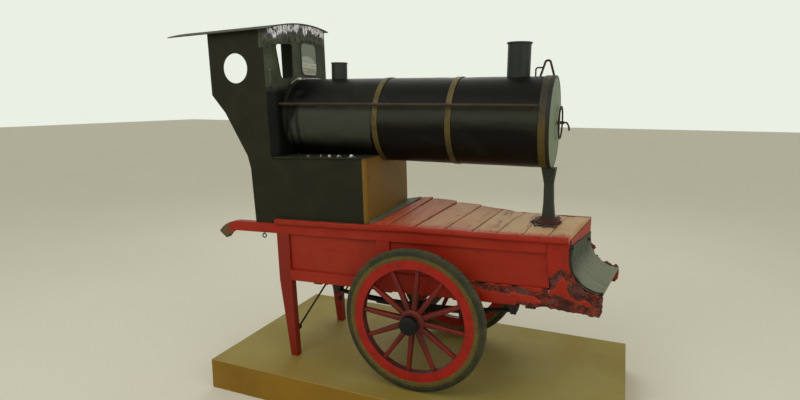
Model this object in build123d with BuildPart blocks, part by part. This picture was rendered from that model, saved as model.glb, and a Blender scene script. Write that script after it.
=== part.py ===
"""Handcart in the form of a steam engine, parked on a low plinth.

A sprung two-wheeled wooden cart carries a sheet-metal stove that is made up as a
locomotive: an open-backed cab, a firebox with a stoking door and a long drum for a boiler.

Frame: +X to the cart's nose, +Y to its left, +Z up, in millimetres.
The origin is on the floor, under the middle of the axle.
The cart stands nose-up on its two legs, so most pieces are drawn on the cart's own planes:
"along" runs forward from the axle and "height" runs up from it, square to the deck.
"""
import os
from math import atan2, cos, degrees, radians, sin, sqrt

from build123d import *

os.makedirs("parts", exist_ok=True)

# Plinth and stance
plinth_height = 160
plinth_length = 2046
plinth_width = 1071
plinth_rear = -1102
plinth_right = -483
plinth_edge = 2
nose_up = 2.0
tyre_gap = 0.3
seat_gap = 0.3

# Wheels, measured from the axle's middle
wheel_radius = 350
wheel_track = 700
tyre_depth = 50
tyre_width = 46
felloe_depth = 48
felloe_width = 40
spoke_count = 12
spoke_start = {"right": -5, "left": 8}
spoke_root = (34, 28)
spoke_tip = (26, 20)
nave_radius = 60
nave_end_radius = 44
nave_inner = 285
nave_outer = 398
hub_cap_radius = 46
hub_cap_length = 34
hub_cap_taper = 3
hub_cap_dome = 9
hub_cap_hollow = 5
journal_radius = 15
journal_gap = 0.5
axle_square = 34

# Cart body, in the cart's own planes
body_half_width = 275
board = 40
rail_top = 405
rail_depth = 52
body_bottom = 103
rear_sill_top = 160
front_sill_top = 195
body_rear = -790
leg_width = 74
leg_foot_rear = -748
leg_foot_width = 38
leg_foot_height = -318
middle_post_rear = -214
middle_post_width = 69
front_post_rear = 590
front_post_slant = 15
front_face = 684
deck_front = 679
nose_skew = 60
nose_drop = 26
plank = 26
plank_gap = 1.5
cap_width = 15
panel_thickness = 12
panel_recess = 12
floor_thickness = 18

# Scoop at the nose
scoop_radius = 140
scoop_centre_height = 330
scoop_sheet_thickness = 2.5
lip_slant = 14
chin_start = 60
chin_middle = 40
chin_depth = 18

# Sheet-metal engine
sheet = 3
cab_inset = 7
cab_half_width = body_half_width - cab_inset
cab_front = -756
corner_radii = {"right": 45, "left": 12}
cab_rear = -1146
cab_side_ahead = {"right": 0, "left": 84}
cab_waist_height = 1078
cab_heel = -945
cab_heel_height = 758
cab_foot = -921
porthole_radius = 75
porthole_along = -982
porthole_drops = {"right": 176, "left": 201}
roof_thickness = 4
roof_front = -745
roof_rear = -1390
roof_right = (-cab_half_width - 29, 1384)
roof_crown = (-30, 1437)
roof_left = (cab_half_width + 24, 1428)
firebox_front_along = -256
firebox_height = 755
firebox_corner_radius = 22
flange = 9

# Drum, level and square to the floor rather than to the deck
drum_radius = 208
drum_axis_rise = 918
drum_rear = -770
drum_front = 502
ring_length = 50
ring_proud = 3
disc_dome = 12
band_width = 27
band_thickness = 3
rear_band_along = -265
front_band_along = 102
collar_depth = 40
front_chimney_along = 376
front_chimney_radius = 53
front_chimney_height = 360
rear_chimney_along = -563
rear_chimney_radius = 41
rear_chimney_height = 290
rail_bar_radius = 7.5
rail_bar_height = 77
rail_bar_side = 222

tilt = radians(nose_up)
forward = Vector(cos(tilt), 0, sin(tilt))
upward = Vector(-sin(tilt), 0, cos(tilt))
axle_height = plinth_height + wheel_radius
axle_centre = Vector(0, 0, axle_height)
drum_axis = axle_height + drum_axis_rise
hands = (("right", -1), ("left", 1))


def side_plane(across):
    """Upright plane along the cart, facing its right: x is along, y is height."""
    return Plane(origin=axle_centre + Vector(0, across, 0), x_dir=forward, z_dir=(0, -1, 0))


def deck_plane(height):
    """Plane level with the deck: x is along, y is across to the left."""
    return Plane(origin=axle_centre + upward * height, x_dir=forward, z_dir=upward)


def cross_plane(along):
    """Upright plane across the cart, facing forward: x is across to the left, y is height."""
    return Plane(origin=axle_centre + forward * along, x_dir=(0, 1, 0), z_dir=forward)


def drum_plane(along):
    """Plane square to the drum's axis: x is across to the left, y is up."""
    return Plane(origin=(along, 0, drum_axis), x_dir=(0, 1, 0), z_dir=(1, 0, 0))


def wheel_plane(across):
    """Plane square to the axle: x is forward, y is up."""
    return Plane(origin=axle_centre + Vector(0, across, 0), x_dir=(1, 0, 0), z_dir=(0, -1, 0))


def nose_share(across):
    """Share of the way over the body's width, from 0 at the right side to 1 at the left."""
    return (across + body_half_width) / (2 * body_half_width)


def dome_point(rim, dome, radius):
    """How far a round dome stands over its rim at a radius."""
    ball = (rim**2 + dome**2) / (2 * dome)
    return sqrt(ball**2 - radius**2) - (ball - dome)


rail_bottom = rail_top - rail_depth
deck_top = rail_top + plank
inner_half_width = body_half_width - board

# Plinth
with BuildPart() as plinth:
    with BuildSketch(Plane.XY):
        with Locations((plinth_rear + plinth_length / 2, plinth_right + plinth_width / 2)):
            Rectangle(plinth_length, plinth_width)
    extrude(amount=plinth_height)
    chamfer(plinth.faces().sort_by(Axis.Z)[-1].edges(), plinth_edge)
plinth.part.label = "plinth"
export_step(plinth.part, "parts/plinth.step")

# Sides of the body: sill, middle post and nose cheek in one frame, with thinner panels let in
for hand, sign in hands:
    faces = (nose_share(sign * body_half_width), nose_share(sign * inner_half_width))
    nose = front_face + nose_skew * min(faces)
    lip = nose + scoop_radius
    hollow = scoop_centre_height - nose_drop * max(faces)
    with BuildPart() as side_frame:
        with BuildSketch(side_plane(sign * inner_half_width)):
            with BuildLine():
                Polyline(
                    (nose, hollow),
                    (nose, rail_top),
                    (front_post_rear, rail_top),
                    (front_post_rear, rail_bottom),
                    (front_post_rear + front_post_slant, front_sill_top),
                    (middle_post_rear + middle_post_width, front_sill_top),
                    (middle_post_rear + middle_post_width, rail_bottom),
                    (middle_post_rear, rail_bottom),
                    (middle_post_rear, rear_sill_top),
                    (body_rear + leg_width, rear_sill_top),
                    (body_rear + leg_width, body_bottom),
                    (nose - chin_start, body_bottom),
                    (nose + chin_middle, body_bottom - chin_depth / 2),
                    (lip - lip_slant, body_bottom - chin_depth),
                    (lip, body_bottom + chin_depth / 2),
                    (lip, hollow - scoop_radius),
                )
                CenterArc((lip, hollow), scoop_radius, 180, 90)
            make_face()
        extrude(amount=-sign * board)
    side_frame.part.label = f"side_frame_{hand}"
    export_step(side_frame.part, f"parts/side_frame_{hand}.step")

with BuildPart() as side_panels:
    for _, sign in hands:
        with BuildSketch(side_plane(sign * (body_half_width - panel_recess - panel_thickness))):
            with BuildLine():
                Polyline(
                    (body_rear + leg_width, rail_bottom),
                    (middle_post_rear, rail_bottom),
                    (middle_post_rear, rear_sill_top),
                    (body_rear + leg_width, rear_sill_top),
                    close=True,
                )
            make_face()
            with BuildLine():
                Polyline(
                    (middle_post_rear + middle_post_width, rail_bottom),
                    (front_post_rear, rail_bottom),
                    (front_post_rear + front_post_slant, front_sill_top),
                    (middle_post_rear + middle_post_width, front_sill_top),
                    close=True,
                )
            make_face()
        extrude(amount=-sign * panel_thickness)
side_panels.part.label = "side_panels"
export_step(side_panels.part, "parts/side_panels.step")

# Legs: posts from under the top rail to the plinth, tapered below the body
leg_overrun = 1.1
leg_run = leg_overrun * (body_bottom - leg_foot_height)
leg_end_rear = body_rear + (leg_foot_rear - body_rear) * leg_overrun
leg_end_front = leg_end_rear + leg_width + (leg_foot_width - leg_width) * leg_overrun
for hand, sign in hands:
    with BuildPart() as leg:
        with BuildSketch(side_plane(sign * inner_half_width)):
            with BuildLine():
                Polyline(
                    (body_rear, rail_bottom),
                    (body_rear + leg_width, rail_bottom),
                    (body_rear + leg_width, body_bottom),
                    (leg_end_front, body_bottom - leg_run),
                    (leg_end_rear, body_bottom - leg_run),
                    (body_rear, body_bottom),
                    close=True,
                )
            make_face()
        extrude(amount=-sign * board)
        split(bisect_by=Plane.XY.offset(plinth_height), keep=Keep.TOP)
    leg.part.label = f"leg_{hand}"
    export_step(leg.part, f"parts/leg_{hand}.step")

# Shafts: the top rail of each side, carried on to the rear as a curved handle
handle_straight_end = -1040
handle_tip = -1168
handle_tip_top = 343
handle_tip_bottom = 308
handle_tip_slant = 44
handle_tip_edge = 8
for hand, sign in hands:
    with BuildPart() as shaft:
        with BuildSketch(side_plane(sign * inner_half_width)):
            with BuildLine():
                Line((front_post_rear, rail_bottom), (front_post_rear, rail_top))
                Line((front_post_rear, rail_top), (handle_straight_end, rail_top))
                top_bend = TangentArc(
                    (handle_straight_end, rail_top), (handle_tip, handle_tip_top), tangent=(-1, 0)
                )
                Line(top_bend @ 1, (handle_tip + handle_tip_slant, handle_tip_bottom))
                low_bend = TangentArc(
                    (handle_straight_end, rail_bottom),
                    (handle_tip + handle_tip_slant, handle_tip_bottom),
                    tangent=(-1, 0),
                )
                Line((handle_straight_end, rail_bottom), (front_post_rear, rail_bottom))
            make_face()
        extrude(amount=-sign * board)
        fillet(shaft.edges().group_by(Axis.X)[0], handle_tip_edge)
    shaft.part.label = f"shaft_{hand}"
    export_step(shaft.part, f"parts/shaft_{hand}.step")

# Cap mouldings along the ends of the planks
cap_drop = 6
cap_edge = 2
with BuildPart() as cap_mouldings:
    for _, sign in hands:
        with BuildSketch(cross_plane(body_rear)):
            with BuildLine():
                inner = sign * body_half_width
                outer = sign * (body_half_width + cap_width)
                Polyline(
                    (inner, rail_top - cap_drop),
                    (inner + sign * cap_width / 3, rail_top - cap_drop),
                    (outer, rail_top + cap_drop / 3),
                    (outer, deck_top - cap_edge),
                    (outer - sign * cap_edge, deck_top),
                    (inner, deck_top),
                    close=True,
                )
            make_face()
        extrude(amount=deck_front + nose_skew * nose_share(sign * body_half_width) - body_rear)
cap_mouldings.part.label = "cap_mouldings"
export_step(cap_mouldings.part, "parts/cap_mouldings.step")

# Deck planks: across the cart in front of the firebox, then under the engine
# Columns: place of the front edge at the right side, at the left side
plank_fronts = (
    (-178, -172),
    (-4, 2),
    (133, 141),
    (270, 282),
    (381, 397),
    (487, 507),
    (594, 630),
    (deck_front, deck_front + nose_skew),
)
with BuildPart() as deck_planks:
    with BuildSketch(deck_plane(rail_top)):
        rear_right = firebox_front_along
        rear_left = firebox_front_along
        for front_right, front_left in plank_fronts:
            with BuildLine():
                Polyline(
                    (rear_right + plank_gap, -body_half_width),
                    (front_right, -body_half_width),
                    (front_left, body_half_width),
                    (rear_left + plank_gap, body_half_width),
                    close=True,
                )
            make_face()
            rear_right = front_right
            rear_left = front_left
    extrude(amount=plank)
deck_planks.part.label = "deck_planks"
export_step(deck_planks.part, "parts/deck_planks.step")

hearth_plank_count = 4
with BuildPart() as hearth_planks:
    with BuildSketch(deck_plane(rail_top)):
        hearth_length = firebox_front_along - body_rear
        pitch = hearth_length / hearth_plank_count
        with Locations(((body_rear + firebox_front_along) / 2, 0)):
            with GridLocations(pitch, 0, hearth_plank_count, 1):
                Rectangle(pitch - plank_gap, 2 * body_half_width)
    extrude(amount=plank)
hearth_planks.part.label = "hearth_planks"
export_step(hearth_planks.part, "parts/hearth_planks.step")

# Floor of the box, its bearers, the tail board and the front board
board_thickness = 22
tail_board_along = body_rear + (leg_width - board_thickness) / 2
floor_rear = tail_board_along + board_thickness
floor_front = front_face - board_thickness
floor_board_count = 3
floor_rise = 8
with BuildPart() as floor_boards:
    with BuildSketch(deck_plane(body_bottom + floor_rise)):
        floor_pitch = 2 * inner_half_width / floor_board_count
        with Locations(((floor_rear + floor_front) / 2, 0)):
            with GridLocations(0, floor_pitch, 1, floor_board_count):
                Rectangle(floor_front - floor_rear, floor_pitch - plank_gap)
    extrude(amount=floor_thickness)
floor_boards.part.label = "floor_boards"
export_step(floor_boards.part, "parts/floor_boards.step")

bearer_height = 30
bearer_width = 45
bearer_places = (-582, -180, 180, 520)
with BuildPart() as bearers:
    with BuildSketch(deck_plane(body_bottom + floor_rise)):
        for along in bearer_places:
            with Locations((along, 0)):
                Rectangle(bearer_width, 2 * inner_half_width)
    extrude(amount=-bearer_height)
bearers.part.label = "bearers"
export_step(bearers.part, "parts/bearers.step")

with BuildPart() as tail_board:
    with BuildSketch(side_plane(-inner_half_width)):
        with Locations((tail_board_along + board_thickness / 2, (body_bottom + rail_top) / 2)):
            Rectangle(board_thickness, rail_top - body_bottom)
    extrude(amount=-2 * inner_half_width)
tail_board.part.label = "tail_board"
export_step(tail_board.part, "parts/tail_board.step")

front_board_bottom = 300
with BuildPart() as front_board:
    with BuildSketch(deck_plane(front_board_bottom)):
        with BuildLine():
            right_edge = front_face
            left_edge = front_face + nose_skew
            slope = nose_skew / (2 * body_half_width)
            inset = slope * board
            Polyline(
                (right_edge + inset, -inner_half_width),
                (left_edge - inset, inner_half_width),
                (left_edge - inset - board_thickness, inner_half_width),
                (right_edge + inset - board_thickness, -inner_half_width),
                close=True,
            )
        make_face()
    extrude(amount=rail_top - front_board_bottom)
front_board.part.label = "front_board"
export_step(front_board.part, "parts/front_board.step")

# Scoop: a quarter pipe of sheet laid over the hollow edges of the two cheeks
sheet_top_drop = 12
sheet_top = rail_top - sheet_top_drop
with BuildPart() as scoop_sheet:
    with BuildSketch(side_plane(-body_half_width)):
        with BuildLine():
            scoop_end = front_face + scoop_radius
            inner_radius = scoop_radius - scoop_sheet_thickness
            Line((front_face, sheet_top), (front_face, scoop_centre_height))
            CenterArc((scoop_end, scoop_centre_height), scoop_radius, 180, 90)
            Line(
                (scoop_end, scoop_centre_height - scoop_radius),
                (scoop_end, scoop_centre_height - inner_radius),
            )
            CenterArc((scoop_end, scoop_centre_height), inner_radius, 180, 90)
            Polyline(
                (front_face + scoop_sheet_thickness, scoop_centre_height),
                (front_face + scoop_sheet_thickness, sheet_top),
                (front_face, sheet_top),
            )
        make_face()
    skew_direction = Vector(0, 2 * body_half_width, 0) + forward * nose_skew - upward * nose_drop
    extrude(amount=skew_direction.length, dir=skew_direction.normalized())
scoop_sheet.part.label = "scoop_sheet"
export_step(scoop_sheet.part, "parts/scoop_sheet.step")

# Leg braces: rods with flattened ends, on the inner faces of legs and sills
brace_radius = 4
brace_eye_radius = 14
brace_foot = (-716, -172)
brace_head = (-527, 97)
brace_run = (brace_head[0] - brace_foot[0], brace_head[1] - brace_foot[1])
brace_length = sqrt(brace_run[0] ** 2 + brace_run[1] ** 2)
brace_angle = degrees(atan2(brace_run[1], brace_run[0]))
brace_middle = ((brace_foot[0] + brace_head[0]) / 2, (brace_foot[1] + brace_head[1]) / 2)
with BuildPart() as leg_braces:
    for _, sign in hands:
        with BuildSketch(side_plane(sign * inner_half_width)):
            with Locations(brace_foot, brace_head):
                Circle(brace_eye_radius)
            with Locations(Location(brace_middle, brace_angle)):
                Rectangle(brace_length, 2 * brace_radius)
        extrude(amount=sign * 2 * brace_radius)
leg_braces.part.label = "leg_braces"
export_step(leg_braces.part, "parts/leg_braces.step")

# Eyes under the shafts for a pulling strap
eye_along = body_rear - 94
eye_ring_radius = 11
eye_wire_radius = 3
with BuildPart() as shaft_eyes:
    for _, sign in hands:
        middle = sign * (inner_half_width + board / 2)
        with BuildSketch(deck_plane(rail_bottom)):
            with Locations((eye_along, middle)):
                Circle(eye_wire_radius)
        extrude(amount=-eye_ring_radius)
        ring_place = side_plane(middle) * Location((eye_along, rail_bottom - 2 * eye_ring_radius))
        with Locations(ring_place):
            Torus(eye_ring_radius, eye_wire_radius)
shaft_eyes.part.label = "shaft_eyes"
export_step(shaft_eyes.part, "parts/shaft_eyes.step")

# Leaf springs: graduated leaves on a saddle over the axle, hung from the sill at both eyes
spring_width = 36
spring_middle = 245
spring_half_length = 450
spring_eye_height = 78
leaf = 7
leaf_steps = (0, 110, 220, 310)
eye_radius = 12
pin_radius = 6
saddle_height = axle_square / 2
leaf_count = len(leaf_steps)
main_leaf_height = saddle_height + leaf * leaf_count
camber = spring_eye_height - eye_radius + leaf - main_leaf_height
spring_curve = (spring_half_length**2 + camber**2) / (2 * camber)
curve_height = main_leaf_height + spring_curve
for hand, sign in hands:
    with BuildPart() as spring:
        with BuildSketch(side_plane(sign * (spring_middle - spring_width / 2))):
            for number, step in enumerate(leaf_steps):
                reach = degrees(atan2(spring_half_length - step, spring_curve))
                outer = spring_curve + leaf * number
                with BuildLine():
                    upper = CenterArc((0, curve_height), outer, 270 - reach, 2 * reach)
                    lower = CenterArc((0, curve_height), outer + leaf, 270 - reach, 2 * reach)
                    Line(upper @ 0, lower @ 0)
                    Line(upper @ 1, lower @ 1)
                make_face()
            spring_eye = (spring_half_length, spring_eye_height)
            with Locations((-spring_half_length, spring_eye_height), spring_eye):
                Circle(eye_radius)
                Circle(pin_radius, mode=Mode.SUBTRACT)
        extrude(amount=-sign * spring_width)
    spring.part.label = f"spring_{hand}"
    export_step(spring.part, f"parts/spring_{hand}.step")

# Hangers: forked brackets under the sills, each with its pin through the spring's eye
hanger_cheek = 6
hanger_half_length = 24
hanger_drop = 20
pin_head = 4
with BuildPart() as hangers:
    for _, sign in hands:
        for end in (-1, 1):
            along = end * spring_half_length
            for face in (-1, 1):
                start = sign * spring_middle + face * spring_width / 2
                with BuildSketch(side_plane(start)):
                    with BuildLine():
                        Polyline(
                            (along - hanger_half_length, body_bottom - hanger_cheek),
                            (along + hanger_half_length, body_bottom - hanger_cheek),
                            (along + hanger_half_length / 2, spring_eye_height - hanger_drop),
                            (along - hanger_half_length / 2, spring_eye_height - hanger_drop),
                            close=True,
                        )
                    make_face()
                extrude(amount=-face * hanger_cheek)
            with BuildSketch(deck_plane(body_bottom)):
                with Locations((along, sign * spring_middle)):
                    Rectangle(2 * hanger_half_length, spring_width + 2 * hanger_cheek)
            extrude(amount=-hanger_cheek)
            with BuildSketch(side_plane(sign * spring_middle)):
                with Locations((along, spring_eye_height)):
                    Circle(pin_radius)
            extrude(amount=spring_width / 2 + hanger_cheek + pin_head, both=True)
hangers.part.label = "hangers"
export_step(hangers.part, "parts/hangers.step")

# Axle: a square bed between round journals, with clamps that hold the springs down
clamp_thickness = 8
bolt_side = 8
bolt_overrun = 8
collar_radius = 26
collar_length = 10
journal_inset = 2
with BuildPart() as axle:
    with BuildSketch(side_plane(0)):
        Rectangle(axle_square, axle_square)
    extrude(amount=nave_inner - seat_gap - collar_length, both=True)
    with BuildSketch(wheel_plane(0)):
        Circle(journal_radius)
    extrude(amount=nave_outer - journal_inset, both=True)
    for _, sign in hands:
        with BuildSketch(wheel_plane(sign * (nave_inner - seat_gap - collar_length))):
            Circle(collar_radius)
        extrude(amount=-sign * collar_length)
axle.part.label = "axle"
export_step(axle.part, "parts/axle.step")

clamp_width = spring_width + 2 * bolt_side
clamp_length = axle_square + 2 * bolt_side
clamp_bottom = -axle_square / 2 - clamp_thickness
clamp_top = main_leaf_height + seat_gap
with BuildPart() as spring_clamps:
    for _, sign in hands:
        for base in (clamp_bottom, clamp_top):
            with BuildSketch(deck_plane(base)):
                with Locations((0, sign * spring_middle)):
                    Rectangle(clamp_length, clamp_width)
            extrude(amount=clamp_thickness)
        with BuildSketch(deck_plane(clamp_bottom - bolt_overrun)):
            with Locations((0, sign * spring_middle)):
                with GridLocations(axle_square + bolt_side, spring_width + bolt_side, 2, 2):
                    Rectangle(bolt_side, bolt_side)
        extrude(amount=clamp_top - clamp_bottom + clamp_thickness + 2 * bolt_overrun)
spring_clamps.part.label = "spring_clamps"
export_step(spring_clamps.part, "parts/spring_clamps.step")

# Wheels
nave_belt_rim = 4
nave_neck = 14
nave_shoulder = 6
nave_lip = 4
felloe_outer = wheel_radius - tyre_depth
felloe_inner = felloe_outer - felloe_depth
felloe_edge = 2.5
tyre_crown = 16
tyre_bead = 6
bore_radius = journal_radius + journal_gap
spoke_trim = 4
spoke_flat = 2
cap_bore_gap = 4
for hand, sign in hands:
    centre = sign * wheel_track / 2
    with BuildPart() as nave:
        with BuildSketch(Plane(origin=axle_centre, x_dir=(0, sign, 0), z_dir=(1, 0, 0))):
            with BuildLine():
                belt = (wheel_track - spoke_root[0]) / 2 - nave_belt_rim
                belt_end = (wheel_track + spoke_root[0]) / 2 + nave_belt_rim
                Polyline(
                    (nave_inner, bore_radius),
                    (nave_inner, nave_end_radius),
                    (belt - nave_neck, nave_radius - nave_shoulder),
                    (belt, nave_radius),
                    (belt_end, nave_radius),
                    (belt_end + nave_shoulder, nave_end_radius + nave_lip),
                    (nave_outer, nave_end_radius),
                    (nave_outer, bore_radius),
                    close=True,
                )
            make_face()
        revolve(axis=Axis(axle_centre, (0, 1, 0)))
    nave.part.label = f"nave_{hand}"
    export_step(nave.part, f"parts/nave_{hand}.step")

    hub_point = axle_centre + Vector(0, centre, 0)
    with BuildPart() as spokes:
        for number in range(spoke_count):
            turn = radians(spoke_start[hand] + 360 / spoke_count * number)
            outward = Vector(cos(turn), 0, sin(turn))
            root = hub_point + outward * (nave_radius - spoke_trim)
            tip = hub_point + outward * (felloe_inner + spoke_trim)
            with BuildSketch(Plane(origin=root, x_dir=(0, 1, 0), z_dir=outward)):
                RectangleRounded(spoke_root[0], spoke_root[1], spoke_root[1] / 2 - spoke_flat)
            with BuildSketch(Plane(origin=tip, x_dir=(0, 1, 0), z_dir=outward)):
                RectangleRounded(spoke_tip[0], spoke_tip[1], spoke_tip[1] / 2 - spoke_flat)
            loft()
        with BuildSketch(wheel_plane(centre - spoke_root[0])):
            Circle(nave_radius)
        extrude(amount=-2 * spoke_root[0], mode=Mode.SUBTRACT)
        with BuildSketch(wheel_plane(centre - spoke_root[0])):
            Circle(felloe_inner)
        extrude(amount=-2 * spoke_root[0], mode=Mode.INTERSECT)
    spokes.part.label = f"spokes_{hand}"
    export_step(spokes.part, f"parts/spokes_{hand}.step")

    with BuildPart() as felloe:
        with BuildSketch(wheel_plane(centre)):
            Circle(felloe_outer)
            Circle(felloe_inner, mode=Mode.SUBTRACT)
        extrude(amount=felloe_width / 2, both=True)
        chamfer(felloe.edges().filter_by(GeomType.CIRCLE), felloe_edge)
    felloe.part.label = f"felloe_{hand}"
    export_step(felloe.part, f"parts/felloe_{hand}.step")

    with BuildPart() as tyre:
        with BuildSketch(Plane(origin=axle_centre, x_dir=(0, 1, 0), z_dir=(1, 0, 0))):
            with BuildLine():
                half = tyre_width / 2
                shoulder = wheel_radius - tyre_gap - tyre_crown
                Polyline(
                    (centre - half, shoulder),
                    (centre - half, felloe_outer + tyre_bead),
                    (centre - felloe_width / 2, felloe_outer - felloe_edge),
                    (centre - felloe_width / 2 + felloe_edge, felloe_outer),
                    (centre + felloe_width / 2 - felloe_edge, felloe_outer),
                    (centre + felloe_width / 2, felloe_outer - felloe_edge),
                    (centre + half, felloe_outer + tyre_bead),
                    (centre + half, shoulder),
                )
                ThreePointArc(
                    (centre + half, shoulder),
                    (centre, wheel_radius - tyre_gap),
                    (centre - half, shoulder),
                )
            make_face()
        revolve(axis=Axis(axle_centre, (0, 1, 0)))
    tyre.part.label = f"tyre_{hand}"
    export_step(tyre.part, f"parts/tyre_{hand}.step")

    with BuildPart() as hub_cap:
        with BuildSketch(Plane(origin=axle_centre, x_dir=(0, sign, 0), z_dir=(1, 0, 0))):
            with BuildLine():
                rim = hub_cap_radius - hub_cap_taper
                brow = nave_outer + hub_cap_length - hub_cap_dome
                Polyline(
                    (brow + hub_cap_dome, 0),
                    (nave_outer + hub_cap_hollow, 0),
                    (nave_outer + hub_cap_hollow, journal_radius + cap_bore_gap),
                    (nave_outer, journal_radius + cap_bore_gap),
                    (nave_outer, hub_cap_radius),
                    (brow, rim),
                )
                ThreePointArc(
                    (brow, rim),
                    (brow + dome_point(rim, hub_cap_dome, rim / 2), rim / 2),
                    (brow + hub_cap_dome, 0),
                )
            make_face()
        revolve(axis=Axis(axle_centre, (0, 1, 0)))
    hub_cap.part.label = f"hub_cap_{hand}"
    export_step(hub_cap.part, f"parts/hub_cap_{hand}.step")

# Cab: cut sides that run on as the firebox's, a front wrapped round both corners, a roof, a pane
cab_skirt = body_rear
roof_edges = {"right": roof_right, "left": roof_left}
waist_run = 78
waist_drop = 94
heel_run = 15
heel_drop = 68
roof_clear = 200
with BuildPart() as over_roof:
    with BuildSketch(cross_plane(roof_rear)):
        with BuildLine():
            ThreePointArc(roof_right, roof_crown, roof_left)
            Polyline(
                roof_left,
                (roof_left[0], roof_crown[1] + roof_clear),
                (roof_right[0], roof_crown[1] + roof_clear),
                roof_right,
            )
        make_face()
    extrude(amount=roof_front - roof_rear)

for hand, sign in hands:
    corner = corner_radii[hand]
    ahead = cab_side_ahead[hand]
    firebox_end = firebox_front_along - firebox_corner_radius
    with BuildPart() as cab_side:
        with BuildSketch(side_plane(sign * (cab_half_width - sheet))):
            with BuildLine():
                Polyline(
                    (firebox_end, deck_top),
                    (firebox_end, firebox_height - sheet),
                    (cab_front - corner, firebox_height - sheet),
                    (cab_front - corner, roof_crown[1]),
                    (cab_rear + ahead, roof_crown[1]),
                    (cab_rear + ahead, cab_waist_height),
                    (cab_rear + ahead + waist_run, cab_waist_height - waist_drop),
                    (cab_heel + ahead, cab_heel_height),
                    (cab_heel + ahead + heel_run, cab_heel_height - heel_drop),
                    (cab_foot + ahead, rail_top),
                    (cab_skirt, rail_top),
                    (cab_skirt, deck_top),
                    close=True,
                )
            make_face()
            with Locations((porthole_along + ahead, roof_edges[hand][1] - porthole_drops[hand])):
                Circle(porthole_radius, mode=Mode.SUBTRACT)
        extrude(amount=-sign * sheet)
        add(over_roof.part, mode=Mode.SUBTRACT)
        with BuildSketch(cross_plane(cab_front - corner)):
            with Locations((sign * (cab_half_width + flange / 2), firebox_height - 1.5 * sheet)):
                Rectangle(flange, sheet)
        extrude(amount=firebox_end - cab_front + corner)
    cab_side.part.label = f"cab_side_{hand}"
    export_step(cab_side.part, f"parts/cab_side_{hand}.step")

window_radius = 34
open_window_radius = 22
window_past = 1
# Columns: place of the corner across, place up
open_window = ((-229, 1318), (-79, 1334), (-82, 1158), (-193, 1147))
# Place of the middle across, place of the middle up, width, height
glazed_window = (82, 1262, 158, 172)
right_corner = corner_radii["right"]
left_corner = corner_radii["left"]
with BuildPart() as cab_front_sheet:
    with BuildSketch(deck_plane(firebox_height)):
        with BuildLine():
            for skin in (0, sheet):
                CenterArc(
                    (cab_front - right_corner, right_corner - cab_half_width),
                    right_corner - skin,
                    -90,
                    90,
                )
                Line(
                    (cab_front - skin, right_corner - cab_half_width),
                    (cab_front - skin, cab_half_width - left_corner),
                )
                CenterArc(
                    (cab_front - left_corner, cab_half_width - left_corner), left_corner - skin, 0, 90
                )
            Line(
                (cab_front - right_corner, -cab_half_width),
                (cab_front - right_corner, -cab_half_width + sheet),
            )
            Line(
                (cab_front - left_corner, cab_half_width - sheet),
                (cab_front - left_corner, cab_half_width),
            )
        make_face()
    extrude(amount=roof_crown[1] - firebox_height)
    add(over_roof.part, mode=Mode.SUBTRACT)
    with BuildSketch(cross_plane(cab_front + window_past)):
        across, height, width, tall = glazed_window
        with Locations((across, height)):
            RectangleRounded(width, tall, window_radius)
    extrude(amount=-2 * right_corner, mode=Mode.SUBTRACT)
    with BuildSketch(cross_plane(cab_front + window_past)) as open_shape:
        with BuildLine():
            Polyline(*open_window, close=True)
        make_face()
        fillet(open_shape.vertices(), open_window_radius)
    extrude(amount=-2 * right_corner, mode=Mode.SUBTRACT)
cab_front_sheet.part.label = "cab_front"
export_step(cab_front_sheet.part, "parts/cab_front.step")

pane_thickness = 3
with BuildPart() as window_pane:
    across, height, width, tall = glazed_window
    with BuildSketch(cross_plane(cab_front)):
        with Locations((across, height)):
            RectangleRounded(width, tall, window_radius)
    extrude(amount=-pane_thickness)
window_pane.part.label = "window_pane"
export_step(window_pane.part, "parts/window_pane.step")

with BuildPart() as roof:
    with BuildSketch(cross_plane(roof_rear)):
        with BuildLine():
            lower_edge = ThreePointArc(roof_right, roof_crown, roof_left)
            upper_edge = ThreePointArc(
                (roof_right[0], roof_right[1] + roof_thickness),
                (roof_crown[0], roof_crown[1] + roof_thickness),
                (roof_left[0], roof_left[1] + roof_thickness),
            )
            Line(lower_edge @ 0, upper_edge @ 0)
            Line(lower_edge @ 1, upper_edge @ 1)
        make_face()
    extrude(amount=roof_front - roof_rear)
roof.part.label = "roof"
export_step(roof.part, "parts/roof.step")

# Handles on the cab's front, beside its corners
cab_handle_inset = 20
cab_handle_height = 1150
cab_handle_length = 92
cab_handle_reach = 26
cab_handle_wire = 4
cab_handle_bend = 10
with BuildPart() as cab_handles:
    for hand, sign in hands:
        corner = corner_radii[hand]
        low = cab_handle_height - cab_handle_length / 2
        high = cab_handle_height + cab_handle_length / 2
        far = cab_front + cab_handle_reach
        with BuildLine(side_plane(sign * (cab_half_width - cab_handle_inset))) as handle_path:
            FilletPolyline(
                (cab_front - corner, low),
                (far, low),
                (far, high),
                (cab_front - corner, high),
                radius=cab_handle_bend,
            )
        with BuildSketch(Plane(origin=handle_path.line @ 0, z_dir=handle_path.line % 0)):
            Circle(cab_handle_wire)
        sweep(path=handle_path.line)
        with BuildSketch(deck_plane(firebox_height)):
            with Locations((cab_front - corner, sign * (cab_half_width - corner))):
                Circle(corner)
            with Locations((cab_front - corner, sign * (cab_half_width - corner) / 2)):
                Rectangle(2 * corner, cab_half_width - corner)
        extrude(amount=roof_crown[1] - firebox_height, mode=Mode.SUBTRACT)
cab_handles.part.label = "cab_handles"
export_step(cab_handles.part, "parts/cab_handles.step")

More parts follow.
